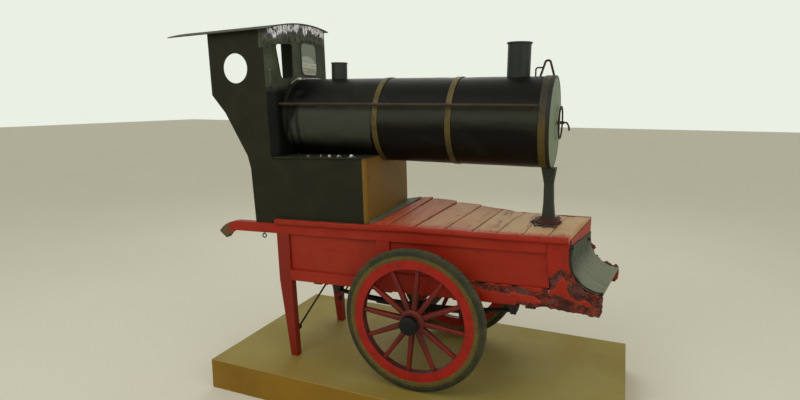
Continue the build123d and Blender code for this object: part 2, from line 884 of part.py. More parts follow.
# Firebox: a front that wraps round both corners, a back plate with the stoking hole, a shelf
with BuildPart() as firebox_front:
    with BuildSketch(deck_plane(deck_top)):
        with BuildLine():
            corner = firebox_corner_radius
            rear = firebox_front_along - corner
            Line((rear, -cab_half_width), (rear, -cab_half_width + sheet))
            CenterArc((rear, -cab_half_width + corner), corner - sheet, -90, 90)
            Line(
                (firebox_front_along - sheet, -cab_half_width + corner),
                (firebox_front_along - sheet, cab_half_width - corner),
            )
            CenterArc((rear, cab_half_width - corner), corner - sheet, 0, 90)
            Line((rear, cab_half_width - sheet), (rear, cab_half_width))
            CenterArc((rear, cab_half_width - corner), corner, 0, 90)
            Line(
                (firebox_front_along, cab_half_width - corner),
                (firebox_front_along, -cab_half_width + corner),
            )
            CenterArc((rear, -cab_half_width + corner), corner, -90, 90)
        make_face()
    extrude(amount=firebox_height - sheet - deck_top)
    with BuildSketch(drum_plane(drum_rear)):
        Circle(drum_radius)
    extrude(amount=drum_front - drum_rear, mode=Mode.SUBTRACT)
    with BuildSketch(drum_plane(rear_band_along - band_width / 2)):
        Circle(drum_radius + band_thickness)
    extrude(amount=band_width, mode=Mode.SUBTRACT)
firebox_front.part.label = "firebox_front"
export_step(firebox_front.part, "parts/firebox_front.step")

# Stoking hole and its door, hinged on a pin at the right edge, inside the open cab
stoke_width = 240
stoke_height = 190
stoke_rise = 160
stoke_middle = deck_top + stoke_rise
door_overlap = 18
door_gap = 0.3
door_thickness = 4
stoke_corner = 12
door_corner = 14
door_half_width = stoke_width / 2 + door_overlap
door_half_height = stoke_height / 2 + door_overlap
hinge_pin_radius = 4
hinge_aside = 12
hinge_stand = 9
hinge_across = -door_half_width - hinge_aside
hinge_back = cab_front - sheet - hinge_stand
knuckle_radius = 7
knuckle_length = 26
knuckle_places = (-60, 60)
strap_thickness = 4
door_back = cab_front - sheet - door_gap - door_thickness
pin_overrun = 10
pin_lug = 8
grip_inset = 26
grip_width = 12
grip_length = 60
grip_reach = 16
with BuildPart() as firebox_back:
    with BuildSketch(cross_plane(cab_front)):
        with BuildLine():
            inner = cab_half_width - sheet
            Polyline(
                (-inner, deck_top),
                (inner, deck_top),
                (inner, firebox_height - sheet),
                (-inner, firebox_height - sheet),
                close=True,
            )
        make_face()
        with Locations((0, stoke_middle)):
            RectangleRounded(stoke_width, stoke_height, stoke_corner, mode=Mode.SUBTRACT)
    extrude(amount=-sheet)
    pin_low = stoke_middle + knuckle_places[0] - knuckle_length / 2 - pin_overrun
    pin_high = stoke_middle + knuckle_places[1] + knuckle_length / 2 + pin_overrun
    with BuildSketch(deck_plane(pin_low)):
        with Locations((hinge_back, hinge_across)):
            Circle(hinge_pin_radius)
    extrude(amount=pin_high - pin_low)
    for low in (pin_low, pin_high - pin_lug):
        with BuildSketch(deck_plane(low)):
            with BuildLine():
                face = cab_front - sheet
                Polyline(
                    (face, hinge_across - knuckle_radius),
                    (face, hinge_across + knuckle_radius),
                    (hinge_back - knuckle_radius, hinge_across + knuckle_radius),
                    (hinge_back - knuckle_radius, hinge_across - knuckle_radius),
                    close=True,
                )
            make_face()
        extrude(amount=pin_lug)
firebox_back.part.label = "firebox_back"
export_step(firebox_back.part, "parts/firebox_back.step")

with BuildPart() as firebox_shelf:
    with BuildSketch(deck_plane(firebox_height)):
        with BuildLine():
            outer = cab_half_width + flange
            Polyline(
                (cab_front - right_corner, -outer),
                (firebox_front_along + flange, -outer),
                (firebox_front_along + flange, outer),
                (cab_front - left_corner, outer),
                close=True,
            )
        make_face()
    extrude(amount=-sheet)
    with BuildSketch(drum_plane(drum_rear - collar_depth)):
        Circle(drum_radius)
    extrude(amount=drum_front - drum_rear, mode=Mode.SUBTRACT)
    with BuildSketch(drum_plane(rear_band_along - band_width / 2)):
        Circle(drum_radius + band_thickness)
    extrude(amount=band_width, mode=Mode.SUBTRACT)
firebox_shelf.part.label = "firebox_shelf"
export_step(firebox_shelf.part, "parts/firebox_shelf.step")

strip_depth = 62
strip_inset = 5
with BuildPart() as base_strip:
    with BuildSketch(deck_plane(deck_top)):
        with Locations((firebox_front_along + strip_depth / 2, 0)):
            Rectangle(strip_depth, 2 * (cab_half_width - strip_inset))
    extrude(amount=sheet)
base_strip.part.label = "base_strip"
export_step(base_strip.part, "parts/base_strip.step")

with BuildPart() as fire_door:
    with BuildSketch(cross_plane(cab_front - sheet - door_gap)):
        with Locations((0, stoke_middle)):
            RectangleRounded(2 * door_half_width, 2 * door_half_height, door_corner)
    extrude(amount=-door_thickness)
    for rise in knuckle_places:
        low = stoke_middle + rise - knuckle_length / 2
        with BuildSketch(deck_plane(low)):
            with Locations((hinge_back, hinge_across)):
                Circle(knuckle_radius)
            with Locations((door_back - strap_thickness / 2, hinge_across / 2)):
                Rectangle(strap_thickness, -hinge_across)
        extrude(amount=knuckle_length)
        with BuildSketch(deck_plane(low)):
            with Locations((hinge_back, hinge_across)):
                Circle(hinge_pin_radius + door_gap)
        extrude(amount=knuckle_length, mode=Mode.SUBTRACT)
    with BuildSketch(cross_plane(door_back)):
        with Locations((door_half_width - grip_inset, stoke_middle)):
            Rectangle(grip_width, grip_length)
    extrude(amount=-grip_reach)
fire_door.part.label = "fire_door"
export_step(fire_door.part, "parts/fire_door.step")

# Drum and its fittings
with BuildPart() as drum:
    with BuildSketch(drum_plane(drum_rear)):
        Circle(drum_radius)
        Circle(drum_radius - sheet, mode=Mode.SUBTRACT)
    extrude(amount=drum_front - drum_rear)
drum.part.label = "drum"
export_step(drum.part, "parts/drum.step")

with BuildPart() as drum_collar:
    with BuildSketch(drum_plane(drum_rear)):
        Circle(drum_radius - sheet)
        Circle(drum_radius - 2 * sheet, mode=Mode.SUBTRACT)
    extrude(amount=-collar_depth)
    with BuildSketch(cross_plane(cab_front)):
        Rectangle(4 * cab_half_width, 4 * roof_crown[1])
    extrude(amount=-collar_depth, mode=Mode.SUBTRACT)
drum_collar.part.label = "drum_collar"
export_step(drum_collar.part, "parts/drum_collar.step")

with BuildPart() as drum_bands:
    for along in (rear_band_along, front_band_along):
        with BuildSketch(drum_plane(along)):
            Circle(drum_radius + band_thickness)
            Circle(drum_radius, mode=Mode.SUBTRACT)
        extrude(amount=band_width / 2, both=True)
drum_bands.part.label = "drum_bands"
export_step(drum_bands.part, "parts/drum_bands.step")

ring_radius = drum_radius + ring_proud
ring_edge = 4
with BuildPart() as front_ring:
    with BuildSketch(drum_plane(drum_front)):
        Circle(ring_radius)
        Circle(drum_radius - sheet, mode=Mode.SUBTRACT)
    extrude(amount=ring_length)
    fillet(front_ring.edges().filter_by(GeomType.CIRCLE).group_by(SortBy.RADIUS)[-1], ring_edge)
front_ring.part.label = "front_ring"
export_step(front_ring.part, "parts/front_ring.step")

disc_radius = drum_radius - sheet
ring_end = drum_front + ring_length
disc_rim = 6
disc_inset = 2
disc_brow = ring_end - disc_inset
disc_rear = disc_brow - disc_rim
disc_nose = disc_brow + disc_dome
with BuildPart() as front_disc:
    with BuildSketch(Plane(origin=(0, 0, drum_axis), x_dir=(1, 0, 0), z_dir=(0, -1, 0))):
        with BuildLine():
            Line((disc_rear, 0), (disc_rear, disc_radius))
            Line((disc_rear, disc_radius), (disc_brow, disc_radius))
            ThreePointArc(
                (disc_brow, disc_radius),
                (disc_brow + dome_point(disc_radius, disc_dome, disc_radius / 2), disc_radius / 2),
                (disc_nose, 0),
            )
            Line((disc_nose, 0), (disc_rear, 0))
        make_face()
    revolve(axis=Axis((0, 0, drum_axis), (1, 0, 0)))
front_disc.part.label = "front_disc"
export_step(front_disc.part, "parts/front_disc.step")

wheel_ring_radius = 72
wheel_rod_radius = 4
wheel_spoke_width = 9
wheel_spoke_depth = 6
spindle_radius = 7
spindle_length = 30
ring_along = disc_nose + 14
# Columns: place along the spindle's line, place up
lever_points = ((0, 0), (15, 1), (24, -14), (28, -36))
lever_bend = 7
with BuildPart() as disc_handle:
    with BuildSketch(drum_plane(disc_nose)):
        Circle(spindle_radius)
    extrude(amount=spindle_length)
    with BuildSketch(Plane(origin=(ring_along, 0, drum_axis), x_dir=(1, 0, 0), z_dir=(0, -1, 0))):
        with Locations((0, wheel_ring_radius)):
            Circle(wheel_rod_radius)
    revolve(axis=Axis((0, 0, drum_axis), (1, 0, 0)))
    with BuildSketch(drum_plane(ring_along - wheel_spoke_depth / 2)):
        Rectangle(2 * wheel_ring_radius, wheel_spoke_width)
    extrude(amount=wheel_spoke_depth)
    lever_start = disc_nose + spindle_length - wheel_rod_radius
    lever_plane = Plane(origin=(lever_start, 0, drum_axis), x_dir=(1, 0, 0), z_dir=(0, -1, 0))
    with BuildLine(lever_plane) as lever_path:
        FilletPolyline(lever_points, radius=lever_bend)
    with BuildSketch(Plane(origin=lever_path.line @ 0, z_dir=lever_path.line % 0)):
        Circle(wheel_rod_radius)
    sweep(path=lever_path.line)
disc_handle.part.label = "disc_handle"
export_step(disc_handle.part, "parts/disc_handle.step")

# Chimneys: tubes that stand on the drum, open at the top
# Columns: name, place along the drum, radius, mouth over the drum's axis, depth and width of rim
chimneys = (
    ("front", front_chimney_along, front_chimney_radius, front_chimney_height, 7, 5),
    ("rear", rear_chimney_along, rear_chimney_radius, rear_chimney_height, 6, 2.5),
)
flue_floor_rise = 5
for place, along, radius, mouth, rim, rim_proud in chimneys:
    with BuildPart() as chimney:
        with BuildSketch(Plane.XY.offset(drum_axis)):
            with Locations((along, 0)):
                Circle(radius)
        extrude(amount=mouth)
        with BuildSketch(Plane.XY.offset(drum_axis + mouth - rim)):
            with Locations((along, 0)):
                Circle(radius + rim_proud)
        extrude(amount=rim)
        with BuildSketch(Plane.XY.offset(drum_axis)):
            with Locations((along, 0)):
                Circle(radius - sheet)
        extrude(amount=mouth, mode=Mode.SUBTRACT)
        with BuildSketch(Plane.XY.offset(drum_axis + drum_radius + flue_floor_rise)):
            with Locations((along, 0)):
                Circle(radius)
        extrude(amount=sheet)
        with BuildSketch(drum_plane(drum_rear)):
            Circle(drum_radius)
        extrude(amount=drum_front - drum_rear, mode=Mode.SUBTRACT)
    chimney.part.label = f"chimney_{place}"
    export_step(chimney.part, f"parts/chimney_{place}.step")

# Handrails along the drum, on short posts
rail_bar_rear = cab_front - 2 * right_corner
rail_bar_front = drum_front
post_radius = 5
post_places = (-720, rear_band_along, front_band_along, 470)
for hand, sign in hands:
    with BuildPart() as handrail:
        side = sign * rail_bar_side
        start = Plane(origin=(rail_bar_rear, side, drum_axis + rail_bar_height), z_dir=(1, 0, 0))
        with BuildSketch(start):
            Circle(rail_bar_radius)
        extrude(amount=rail_bar_front - rail_bar_rear)
        for along in post_places:
            post_end = (along, side, drum_axis + rail_bar_height)
            with BuildSketch(Plane(origin=post_end, z_dir=(0, -sign, 0))):
                Circle(post_radius)
            extrude(amount=rail_bar_side / 2)
        with BuildSketch(drum_plane(drum_rear)):
            Circle(drum_radius + band_thickness)
        extrude(amount=ring_end - drum_rear, mode=Mode.SUBTRACT)
        split(bisect_by=cross_plane(cab_front), keep=Keep.TOP)
    handrail.part.label = f"handrail_{hand}"
    export_step(handrail.part, f"parts/handrail_{hand}.step")

# Lifting handle on top of the drum's front end: a bent rod from drum to ring, with a stay behind
hook_plane = Plane(origin=(0, 0, drum_axis), x_dir=(1, 0, 0), z_dir=(0, -1, 0))
hook_root = drum_radius - sheet
hook_rear = drum_front - 27
hook_front = drum_front + 36
hook_peak = drum_radius + 69
hook_shoulder = 22
stay_rear = hook_rear - 21
stay_height = drum_radius + 38
# Columns: radius of the rod, radius of its bends, its points along the drum and over its axis
hooks = (
    (
        5,
        10,
        (
            (hook_rear, hook_root),
            (hook_rear + hook_shoulder, hook_peak),
            (hook_front - hook_shoulder, hook_peak),
            (hook_front, hook_root),
        ),
    ),
    (
        3.5,
        10,
        (
            (stay_rear, hook_root),
            (stay_rear, stay_height),
            (hook_rear + hook_shoulder / 2, stay_height),
        ),
    ),
)
with BuildPart() as front_hooks:
    for rod_radius, bend, points in hooks:
        with BuildLine(hook_plane) as hook_path:
            FilletPolyline(points, radius=bend)
        with BuildSketch(Plane(origin=hook_path.line @ 0, z_dir=hook_path.line % 0)):
            Circle(rod_radius)
        sweep(path=hook_path.line)
    for start, length, carrier in (
        (drum_rear, drum_front - drum_rear, drum_radius),
        (drum_front, ring_length, ring_radius),
    ):
        with BuildSketch(drum_plane(start)):
            Circle(carrier)
        extrude(amount=length, mode=Mode.SUBTRACT)
front_hooks.part.label = "front_hooks"
export_step(front_hooks.part, "parts/front_hooks.step")

# Column between the deck and the front ring
column_along = 562
column_corner = 6
# Columns: height over the deck, width
column_stations = ((0, 68), (9, 66), (10, 60), (95, 46), (185, 43), (255, 64), (300, 80))
with BuildPart() as column:
    for (low, low_width), (high, high_width) in zip(column_stations, column_stations[1:]):
        for height, width in ((low, low_width), (high, high_width)):
            with BuildSketch(deck_plane(deck_top + height)):
                with Locations((column_along, 0)):
                    RectangleRounded(width, width, column_corner)
        loft()
    with BuildSketch(drum_plane(drum_front)):
        Circle(ring_radius)
    extrude(amount=ring_length + drum_radius, mode=Mode.SUBTRACT)
    with BuildSketch(drum_plane(drum_front)):
        Circle(drum_radius)
    extrude(amount=-drum_radius, mode=Mode.SUBTRACT)
column.part.label = "column"
export_step(column.part, "parts/column.step")
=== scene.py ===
"""A handcart in the form of a small steam engine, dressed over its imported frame, in metres."""
from __future__ import annotations

import logging
import math
import sys
from dataclasses import dataclass, field
from enum import Enum
from typing import Callable, Iterable, Sequence, Union

import bmesh
import bpy
from mathutils import Matrix, Vector, noise


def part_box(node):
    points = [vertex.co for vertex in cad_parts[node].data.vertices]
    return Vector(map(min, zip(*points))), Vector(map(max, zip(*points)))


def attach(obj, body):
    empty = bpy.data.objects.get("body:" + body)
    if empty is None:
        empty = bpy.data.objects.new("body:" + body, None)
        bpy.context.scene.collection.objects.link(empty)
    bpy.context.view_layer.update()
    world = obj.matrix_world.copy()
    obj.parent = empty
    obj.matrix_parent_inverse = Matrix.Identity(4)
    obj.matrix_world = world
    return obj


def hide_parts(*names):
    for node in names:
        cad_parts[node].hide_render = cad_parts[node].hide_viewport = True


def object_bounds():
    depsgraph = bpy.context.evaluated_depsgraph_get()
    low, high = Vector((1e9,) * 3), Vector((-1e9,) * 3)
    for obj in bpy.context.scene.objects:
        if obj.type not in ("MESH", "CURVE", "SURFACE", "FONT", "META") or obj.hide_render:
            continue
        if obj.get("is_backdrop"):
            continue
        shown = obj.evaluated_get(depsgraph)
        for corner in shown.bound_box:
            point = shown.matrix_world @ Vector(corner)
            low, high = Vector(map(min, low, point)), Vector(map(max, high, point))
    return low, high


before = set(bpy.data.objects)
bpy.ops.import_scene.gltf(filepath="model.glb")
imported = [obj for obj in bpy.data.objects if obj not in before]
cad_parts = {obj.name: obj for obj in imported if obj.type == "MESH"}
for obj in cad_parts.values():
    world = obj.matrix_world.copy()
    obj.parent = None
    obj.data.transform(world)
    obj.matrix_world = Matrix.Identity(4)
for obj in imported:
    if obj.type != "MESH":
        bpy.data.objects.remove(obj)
LOADED_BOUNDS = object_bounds()

log = logging.getLogger("handcart")
Colour = tuple[float, float, float]
Value = Union["Signal", float, tuple]
Seat = tuple[Vector, Vector]
Marks = dict[str, Callable[[Vector], float]]

CART = "cart"
TILT = math.radians(2)
LEVEL, LEAN = math.cos(TILT), math.sin(TILT)
AXLE_RISE = 0.510
DRUM_AXIS = 1.428
SHEEN = 0.3
BEVEL_SAMPLES = 4


def lay(along: float, across: float, height: float) -> Vector:
    """Turns a place on the tilted cart into a place in the frame.

    Args:
        along: metres forward of the axle, level with the deck.
        across: metres to the left.
        height: metres over the axle, square to the deck.

    Returns:
        The point in the frame.
    """
    return Vector((along * LEVEL - height * LEAN, across, AXLE_RISE + along * LEAN + height * LEVEL))


def unlay(spot: Vector) -> tuple[float, float]:
    """Turns a place in the frame back into metres along and over the tilted cart."""
    rise = spot.z - AXLE_RISE
    return spot.x * LEVEL + rise * LEAN, rise * LEVEL - spot.x * LEAN


CART_FORWARD = (lay(1, 0, 0) - lay(0, 0, 0)).normalized()
CART_UP = (lay(0, 0, 1) - lay(0, 0, 0)).normalized()


def tint(red: int, green: int, blue: int) -> Colour:
    """Turns a screen colour of 0 to 255 into a linear one.

    Args:
        red, green, blue: the screen colour.

    Returns:
        The linear colour.
    """

    def linear(part: float) -> float:
        """Linear light of one screen part."""
        return part / 12.92 if part <= 0.04045 else ((part + 0.055) / 1.055) ** 2.4

    return (linear(red / 255), linear(green / 255), linear(blue / 255))


def ease(value: float, low: float, high: float) -> float:
    """Smooth step of a value between two limits.

    Args:
        value: the number to place.
        low, high: where the step starts and ends.

    Returns:
        0 below low, 1 above high.
    """
    share = min(1.0, max(0.0, (value - low) / (high - low)))
    return share * share * (3 - 2 * share)


def rough(point: Vector, scale: float, octaves: int = 3) -> float:
    """Fractal noise of about -1 to 1 at a point, with bumps 1 / scale metres wide."""
    return noise.fractal(point * scale, 1.0, 2.0, octaves)


def round_drum(x: float, turn: float, radius: float) -> Vector:
    """A point round the drum's axis, at radians up from its right side."""
    return Vector((x, -radius * math.cos(turn), DRUM_AXIS + radius * math.sin(turn)))


def away_from_drum(turn: float) -> Vector:
    """The direction away from the drum's axis, at radians up from its right side."""
    return Vector((0, -math.cos(turn), math.sin(turn)))


# Shaders


def math_node(operation: str, flipped: bool = False) -> Callable[["Signal", Value], "Signal"]:
    """Makes the method of an operator.

    Args:
        operation: the Math node's operation.
        flipped: whether the other value comes first.

    Returns:
        The method.
    """

    def method(self: "Signal", other: Value) -> "Signal":
        """Adds one Math node."""
        first, second = (other, self) if flipped else (self, other)
        return self.bench.node("ShaderNodeMath", {"operation": operation}, {0: first, 1: second})

    return method


class Signal:
    """A node's output that takes part in sums and products."""

    def __init__(self, bench: "Bench", socket: bpy.types.NodeSocket) -> None:
        """Keeps the socket and the bench it belongs to."""
        self.bench = bench
        self.socket = socket

    __add__, __radd__ = math_node("ADD"), math_node("ADD", True)
    __sub__, __rsub__ = math_node("SUBTRACT"), math_node("SUBTRACT", True)
    __mul__, __rmul__ = math_node("MULTIPLY"), math_node("MULTIPLY", True)
    over = math_node("MAXIMUM")

    def __abs__(self) -> "Signal":
        """Size without sign."""
        return self.bench.node("ShaderNodeMath", {"operation": "ABSOLUTE"}, {0: self})


def tree_of(holder: bpy.types.Material | bpy.types.World) -> bpy.types.NodeTree:
    """The node tree of a material or world."""
    holder.use_nodes = True
    return holder.node_tree


class Bench:
    """A node tree while it is laid out."""

    def __init__(self, tree: bpy.types.NodeTree) -> None:
        """Empties the tree."""
        self.tree = tree
        self.tree.nodes.clear()

    def node(
        self,
        kind: str,
        settings: dict | None = None,
        values: dict | None = None,
        output: int | str = 0,
    ) -> Signal:
        """Adds a node, its settings first.

        Args:
            kind: the node's type.
            settings: its properties.
            values: numbers, colours or signals for its sockets, by name or number.
            output: the socket to hand back.

        Returns:
            The output as a signal.
        """
        made = self.tree.nodes.new(kind)
        for key, value in (settings or {}).items():
            setattr(made, key, value)
        for key, value in (values or {}).items():
            socket = made.inputs[key]
            if isinstance(value, Signal):
                self.tree.links.new(value.socket, socket)
            elif socket.type == "RGBA":
                socket.default_value = (*value[:3], 1.0)
            else:
                socket.default_value = value
        return Signal(self, made.outputs[output] if made.outputs else None)

    def place(self, stretch: tuple = (1, 1, 1), shift: tuple = (0, 0, 0)) -> Signal:
        """Object coordinates, stretched and moved by a Mapping node."""
        spot = self.node("ShaderNodeTexCoord", output="Object")
        return self.node("ShaderNodeMapping", values={"Vector": spot, "Scale": stretch, "Location": shift})

    def noise(
        self,
        scale: float,
        detail: float = 4,
        grit: float = 0.55,
        stretch: tuple = (1, 1, 1),
        warp: float = 0,
    ) -> Signal:
        """Noise of 0 to 1 in object coordinates."""
        values = {"Vector": self.place(stretch), "Scale": scale, "Detail": detail}
        return self.node("ShaderNodeTexNoise", values={**values, "Roughness": grit, "Distortion": warp})

    def step(self, value: Value, low: float, high: float) -> Signal:
        """Smooth step of a signal from low to high."""
        return self.node(
            "ShaderNodeMapRange",
            {"interpolation_type": "SMOOTHSTEP"},
            {"Value": value, "From Min": low, "From Max": high, "To Min": 0.0, "To Max": 1.0},
        )

    def blend(self, share: Value, first: Value, second: Value) -> Signal:
        """Colour between two others."""
        return self.node("ShaderNodeMix", {"data_type": "RGBA"}, {0: share, 6: first, 7: second}, 2)

    def part(self, vector: Signal, axis: int) -> Signal:
        """One part, 0 to 2, of a vector."""
        return self.node("ShaderNodeSeparateXYZ", values={0: vector}, output=axis)

    def from_axle(self) -> Signal:
        """Distance from the axle, seen from the side."""
        spot = self.place((1, 0, 1), (0, 0, -AXLE_RISE))
        return self.node("ShaderNodeVectorMath", {"operation": "LENGTH"}, {0: spot}, "Value")

    def mark(self, name: str) -> Signal:
        """A share of 0 to 1 that the mesh carries at its points."""
        return self.node("ShaderNodeAttribute", {"attribute_name": name}, output="Fac")

    def facing(self, axis: int) -> Signal:
        """One part of the surface's own direction, for pieces that stand still."""
        return self.part(self.node("ShaderNodeNewGeometry", output="Normal"), axis)

    def rounded(self, radius: float) -> Signal:
        """The surface's direction, softened over its edges."""
        return self.node("ShaderNodeBevel", {"samples": BEVEL_SAMPLES}, {"Radius": radius})

    def edge(self, radius: float) -> Signal:
        """1 along sharp edges and 0 on flat faces."""
        sides = {0: self.rounded(radius), 1: self.node("ShaderNodeNewGeometry", output="Normal")}
        agree = self.node("ShaderNodeVectorMath", {"operation": "DOT_PRODUCT"}, sides, "Value")
        return self.step(1 - agree, 0.015, 0.12)

    def relief(self, height: Signal, depth: float, strength: float, round_edge: float = 0.0) -> Signal:
        """Bump from a height signal, over softened edges where asked."""
        values: dict = {"Height": height, "Strength": strength, "Distance": depth}
        if round_edge:
            values["Normal"] = self.rounded(round_edge)
        return self.node("ShaderNodeBump", values=values)

    def skin(self, base: Value, gloss: Value, normal: Signal | None = None, **more: Value) -> None:
        """Ends the material in a Principled shader.

        Args:
            base, gloss, normal: its colour, its roughness and its bump.
            more: values of other sockets, their names with _ for each space.
        """
        values = {"Base Color": base, "Roughness": gloss, "Specular IOR Level": SHEEN}
        if normal:
            values["Normal"] = normal
        values |= {name.replace("_", " "): value for name, value in more.items()}
        shader = self.node("ShaderNodeBsdfPrincipled", values=values)
        self.node("ShaderNodeOutputMaterial", values={"Surface": shader})


class Grain(Enum):
    """The way a board's grain runs."""

    ALONG = (0.09, 1.0, 1.0)
    ACROSS = (1.0, 0.09, 1.0)
    UP = (1.0, 1.0, 0.09)


@dataclass(frozen=True)
class Finish:
    """Something a piece's surface is finished with."""

    name: str

    def lay_out(self, bench: Bench) -> None:
        """Lays out the nodes; each finish has its own."""
        raise NotImplementedError

    def make(self) -> bpy.types.Material:
        """The finish as a material, made once."""
        title = f"{self.name}_finish"
        material = bpy.data.materials.get(title)
        if not material:
            material = bpy.data.materials.new(title)
            self.lay_out(Bench(tree_of(material)))
        return material


@dataclass(frozen=True)
class PaintedWood(Finish):
    """Old paint on boards: streaked along the grain, faded, chipped and dirty."""

    paint: Colour = (0, 0, 0)
    faded: Colour = (0, 0, 0)
    dirt: Colour = (0, 0, 0)
    bare: Colour = (0, 0, 0)
    grain: Grain = Grain.ALONG
    fading: float = 0.5
    soiling: float = 0.5
    chipping: float = 0.25
    gloss: float = 0.42

    def coat(self, bench: Bench) -> tuple[Signal, Signal, Signal]:
        """Lays out the paint.

        Returns:
            Its colour, its roughness and its height.
        """
        streaks = bench.noise(26, 6, 0.6, self.grain.value)
        cloud = bench.noise(3.2, 5, 0.6, warp=0.4)
        smear = bench.noise(9, 6, 0.65)
        flecks = bench.noise(34, 8, 0.7)
        base = bench.blend(bench.step(cloud, 0.38, 0.66) * self.fading, self.paint, self.faded)
        base = bench.blend(bench.step(streaks, 0.5, 0.72) * (0.5 * self.soiling), base, self.dirt)
        base = bench.blend(bench.step(smear, 0.52, 0.74) * self.soiling, base, self.dirt)
        chips = bench.step(flecks, 0.8 - 0.35 * self.chipping, 0.84 - 0.35 * self.chipping)
        worn = bench.edge(0.004) * bench.step(smear, 0.36, 0.6)
        bared = chips.over(worn * min(1.0, 0.4 + self.chipping))
        base = bench.blend(bared, base, self.bare)
        height = streaks * 0.5 + smear * 0.4 - chips * 0.5
        return base, self.gloss + streaks * 0.22 + bared * 0.2, height

    def lay_out(self, bench: Bench) -> None:
        """Lays out the nodes."""
        base, gloss, height = self.coat(bench)
        bench.skin(base, gloss, bench.relief(height, 0.0016, 0.55, 0.0015))


@dataclass(frozen=True)
class PaintedSheet(Finish):
    """Old black paint on thin sheet: dents, hazy matt patches, dust and bared edges, and painted shade below
    given heights.
    """

    paint: Colour = (0, 0, 0)
    haze: Colour = (0, 0, 0)
    bare: Colour = (0, 0, 0)
    rust: Colour = (0, 0, 0)
    hazing: float = 0.5
    rusting: float = 0.1
    gloss: float = 0.3
    dents: float = 0.5
    stretch: tuple = (1.0, 1.0, 1.0)
    # Heights below which the sheet is painted near black as shade, where given
    shaded: tuple = ()
    sheen: float = SHEEN

    def lay_out(self, bench: Bench) -> None:
        """Lays out the nodes."""
        patch = bench.noise(5, 6, 0.62, self.stretch, 0.5)
        grit = bench.noise(90, 4, 0.6)
        scratch = bench.noise(30, 5, 0.7, (0.2, 1.0, 1.6), 0.8)
        wave = bench.noise(7, 2, 0.45)
        base = bench.blend(bench.step(patch, 0.42, 0.7) * self.hazing, self.paint, self.haze)
        base = bench.blend(bench.step(scratch, 0.62, 0.72) * (0.35 * self.hazing), base, self.haze)
        spots = bench.step(bench.noise(22, 7, 0.72), 0.72 - 0.25 * self.rusting, 0.8 - 0.2 * self.rusting)
        base = bench.blend(spots * min(1.0, 4 * self.rusting), base, self.rust)
        worn = bench.edge(0.003) * bench.step(grit, 0.4, 0.62)
        base = bench.blend(worn * 0.7, base, self.bare)
        dust = bench.step(bench.facing(2), 0.45, 0.95) * bench.step(patch, 0.25, 0.6)
        base = bench.blend(dust * 0.35, base, self.haze)
        if self.shaded:
            # Painted shade: below the shaded heights the sheet is darkened nearly to black
            painted_shade = 1 - bench.step(bench.part(bench.place(), 2) + patch * 0.06, *self.shaded)
            base = bench.blend(painted_shade * 0.94, base, tint(10, 9, 10))
        relief = bench.relief(wave * self.dents + grit * 0.03, 0.012, 0.5, 0.001)
        gloss = self.gloss + patch * 0.25 + dust * 0.25
        bench.skin(base, gloss, relief, Specular_IOR_Level=self.sheen)


@dataclass(frozen=True)
class OldMetal(Finish):
    """Bare or tarnished metal."""

    metal: Colour = (0, 0, 0)
    tarnish: Colour = (0, 0, 0)
    crust: Colour = (0, 0, 0)
    metallic: float = 0.7
    gloss: float = 0.4
    tarnishing: float = 0.5
    crusting: float = 0.2

    def lay_out(self, bench: Bench) -> None:
        """Lays out the nodes."""
        patch = bench.noise(9, 6, 0.65, warp=0.3)
        grit = bench.noise(70, 5, 0.65)
        base = bench.blend(bench.step(patch, 0.4, 0.66) * self.tarnishing, self.metal, self.tarnish)
        crust = bench.step(grit * 0.5 + patch * 0.5, 0.56 - 0.1 * self.crusting, 0.66 - 0.1 * self.crusting)
        base = bench.blend(crust * min(1.0, 2 * self.crusting), base, self.crust)
        relief = bench.relief(grit * 0.4 + patch, 0.0015, 0.4, 0.001)
        metallic = self.metallic * (1 - crust * 0.8)
        bench.skin(base, self.gloss + patch * 0.2 + crust * 0.25, relief, Metallic=metallic)


@dataclass(frozen=True)
class BareWood(Finish):
    """Unpainted or long worn wood."""

    pale: Colour = (0, 0, 0)
    dark: Colour = (0, 0, 0)
    grain: Grain = Grain.ALONG

    def lay_out(self, bench: Bench) -> None:
        """Lays out the nodes."""
        streaks = bench.noise(40, 6, 0.6, self.grain.value, 0.5)
        stain = bench.noise(6, 4, 0.6)
        base = bench.blend(bench.step(streaks, 0.35, 0.7), self.pale, self.dark)
        base = bench.blend(bench.step(stain, 0.48, 0.7) * 0.6, base, self.dark)
        bench.skin(base, 0.62 + streaks * 0.2, bench.relief(streaks, 0.0014, 0.5, 0.0015))


@dataclass(frozen=True)
class ShaftPaint(PaintedWood):
    """Red rail paint that wears off to dark wood where hands hold the shafts."""

    hold_start: float = -1.095
    hold_end: float = -1.125
    hand_wood: Colour = tint(98, 74, 44)

    def lay_out(self, bench: Bench) -> None:
        """Lays out the nodes."""
        streaks = bench.noise(26, 6, 0.6, self.grain.value)
        smear = bench.noise(9, 6, 0.65)
        along = bench.part(bench.place(), 0)
        held = bench.step(along * -1 + smear * 0.12, -self.hold_start + 0.06, -self.hold_end + 0.06)
        base = bench.blend(bench.step(smear, 0.42, 0.68) * self.fading, self.paint, self.faded)
        base = bench.blend(bench.step(streaks, 0.5, 0.72) * self.soiling, base, self.dirt)
        worn = bench.edge(0.004) * bench.step(smear, 0.34, 0.58) * 0.6
        base = bench.blend(worn, base, self.bare)
        wood = bench.blend(bench.step(streaks, 0.38, 0.66), self.hand_wood, tint(64, 46, 34))
        base = bench.blend(held, base, wood)
        relief = bench.relief(streaks * 0.5 + smear * 0.4, 0.0016, 0.5, 0.002)
        bench.skin(base, self.gloss + streaks * 0.2, relief)


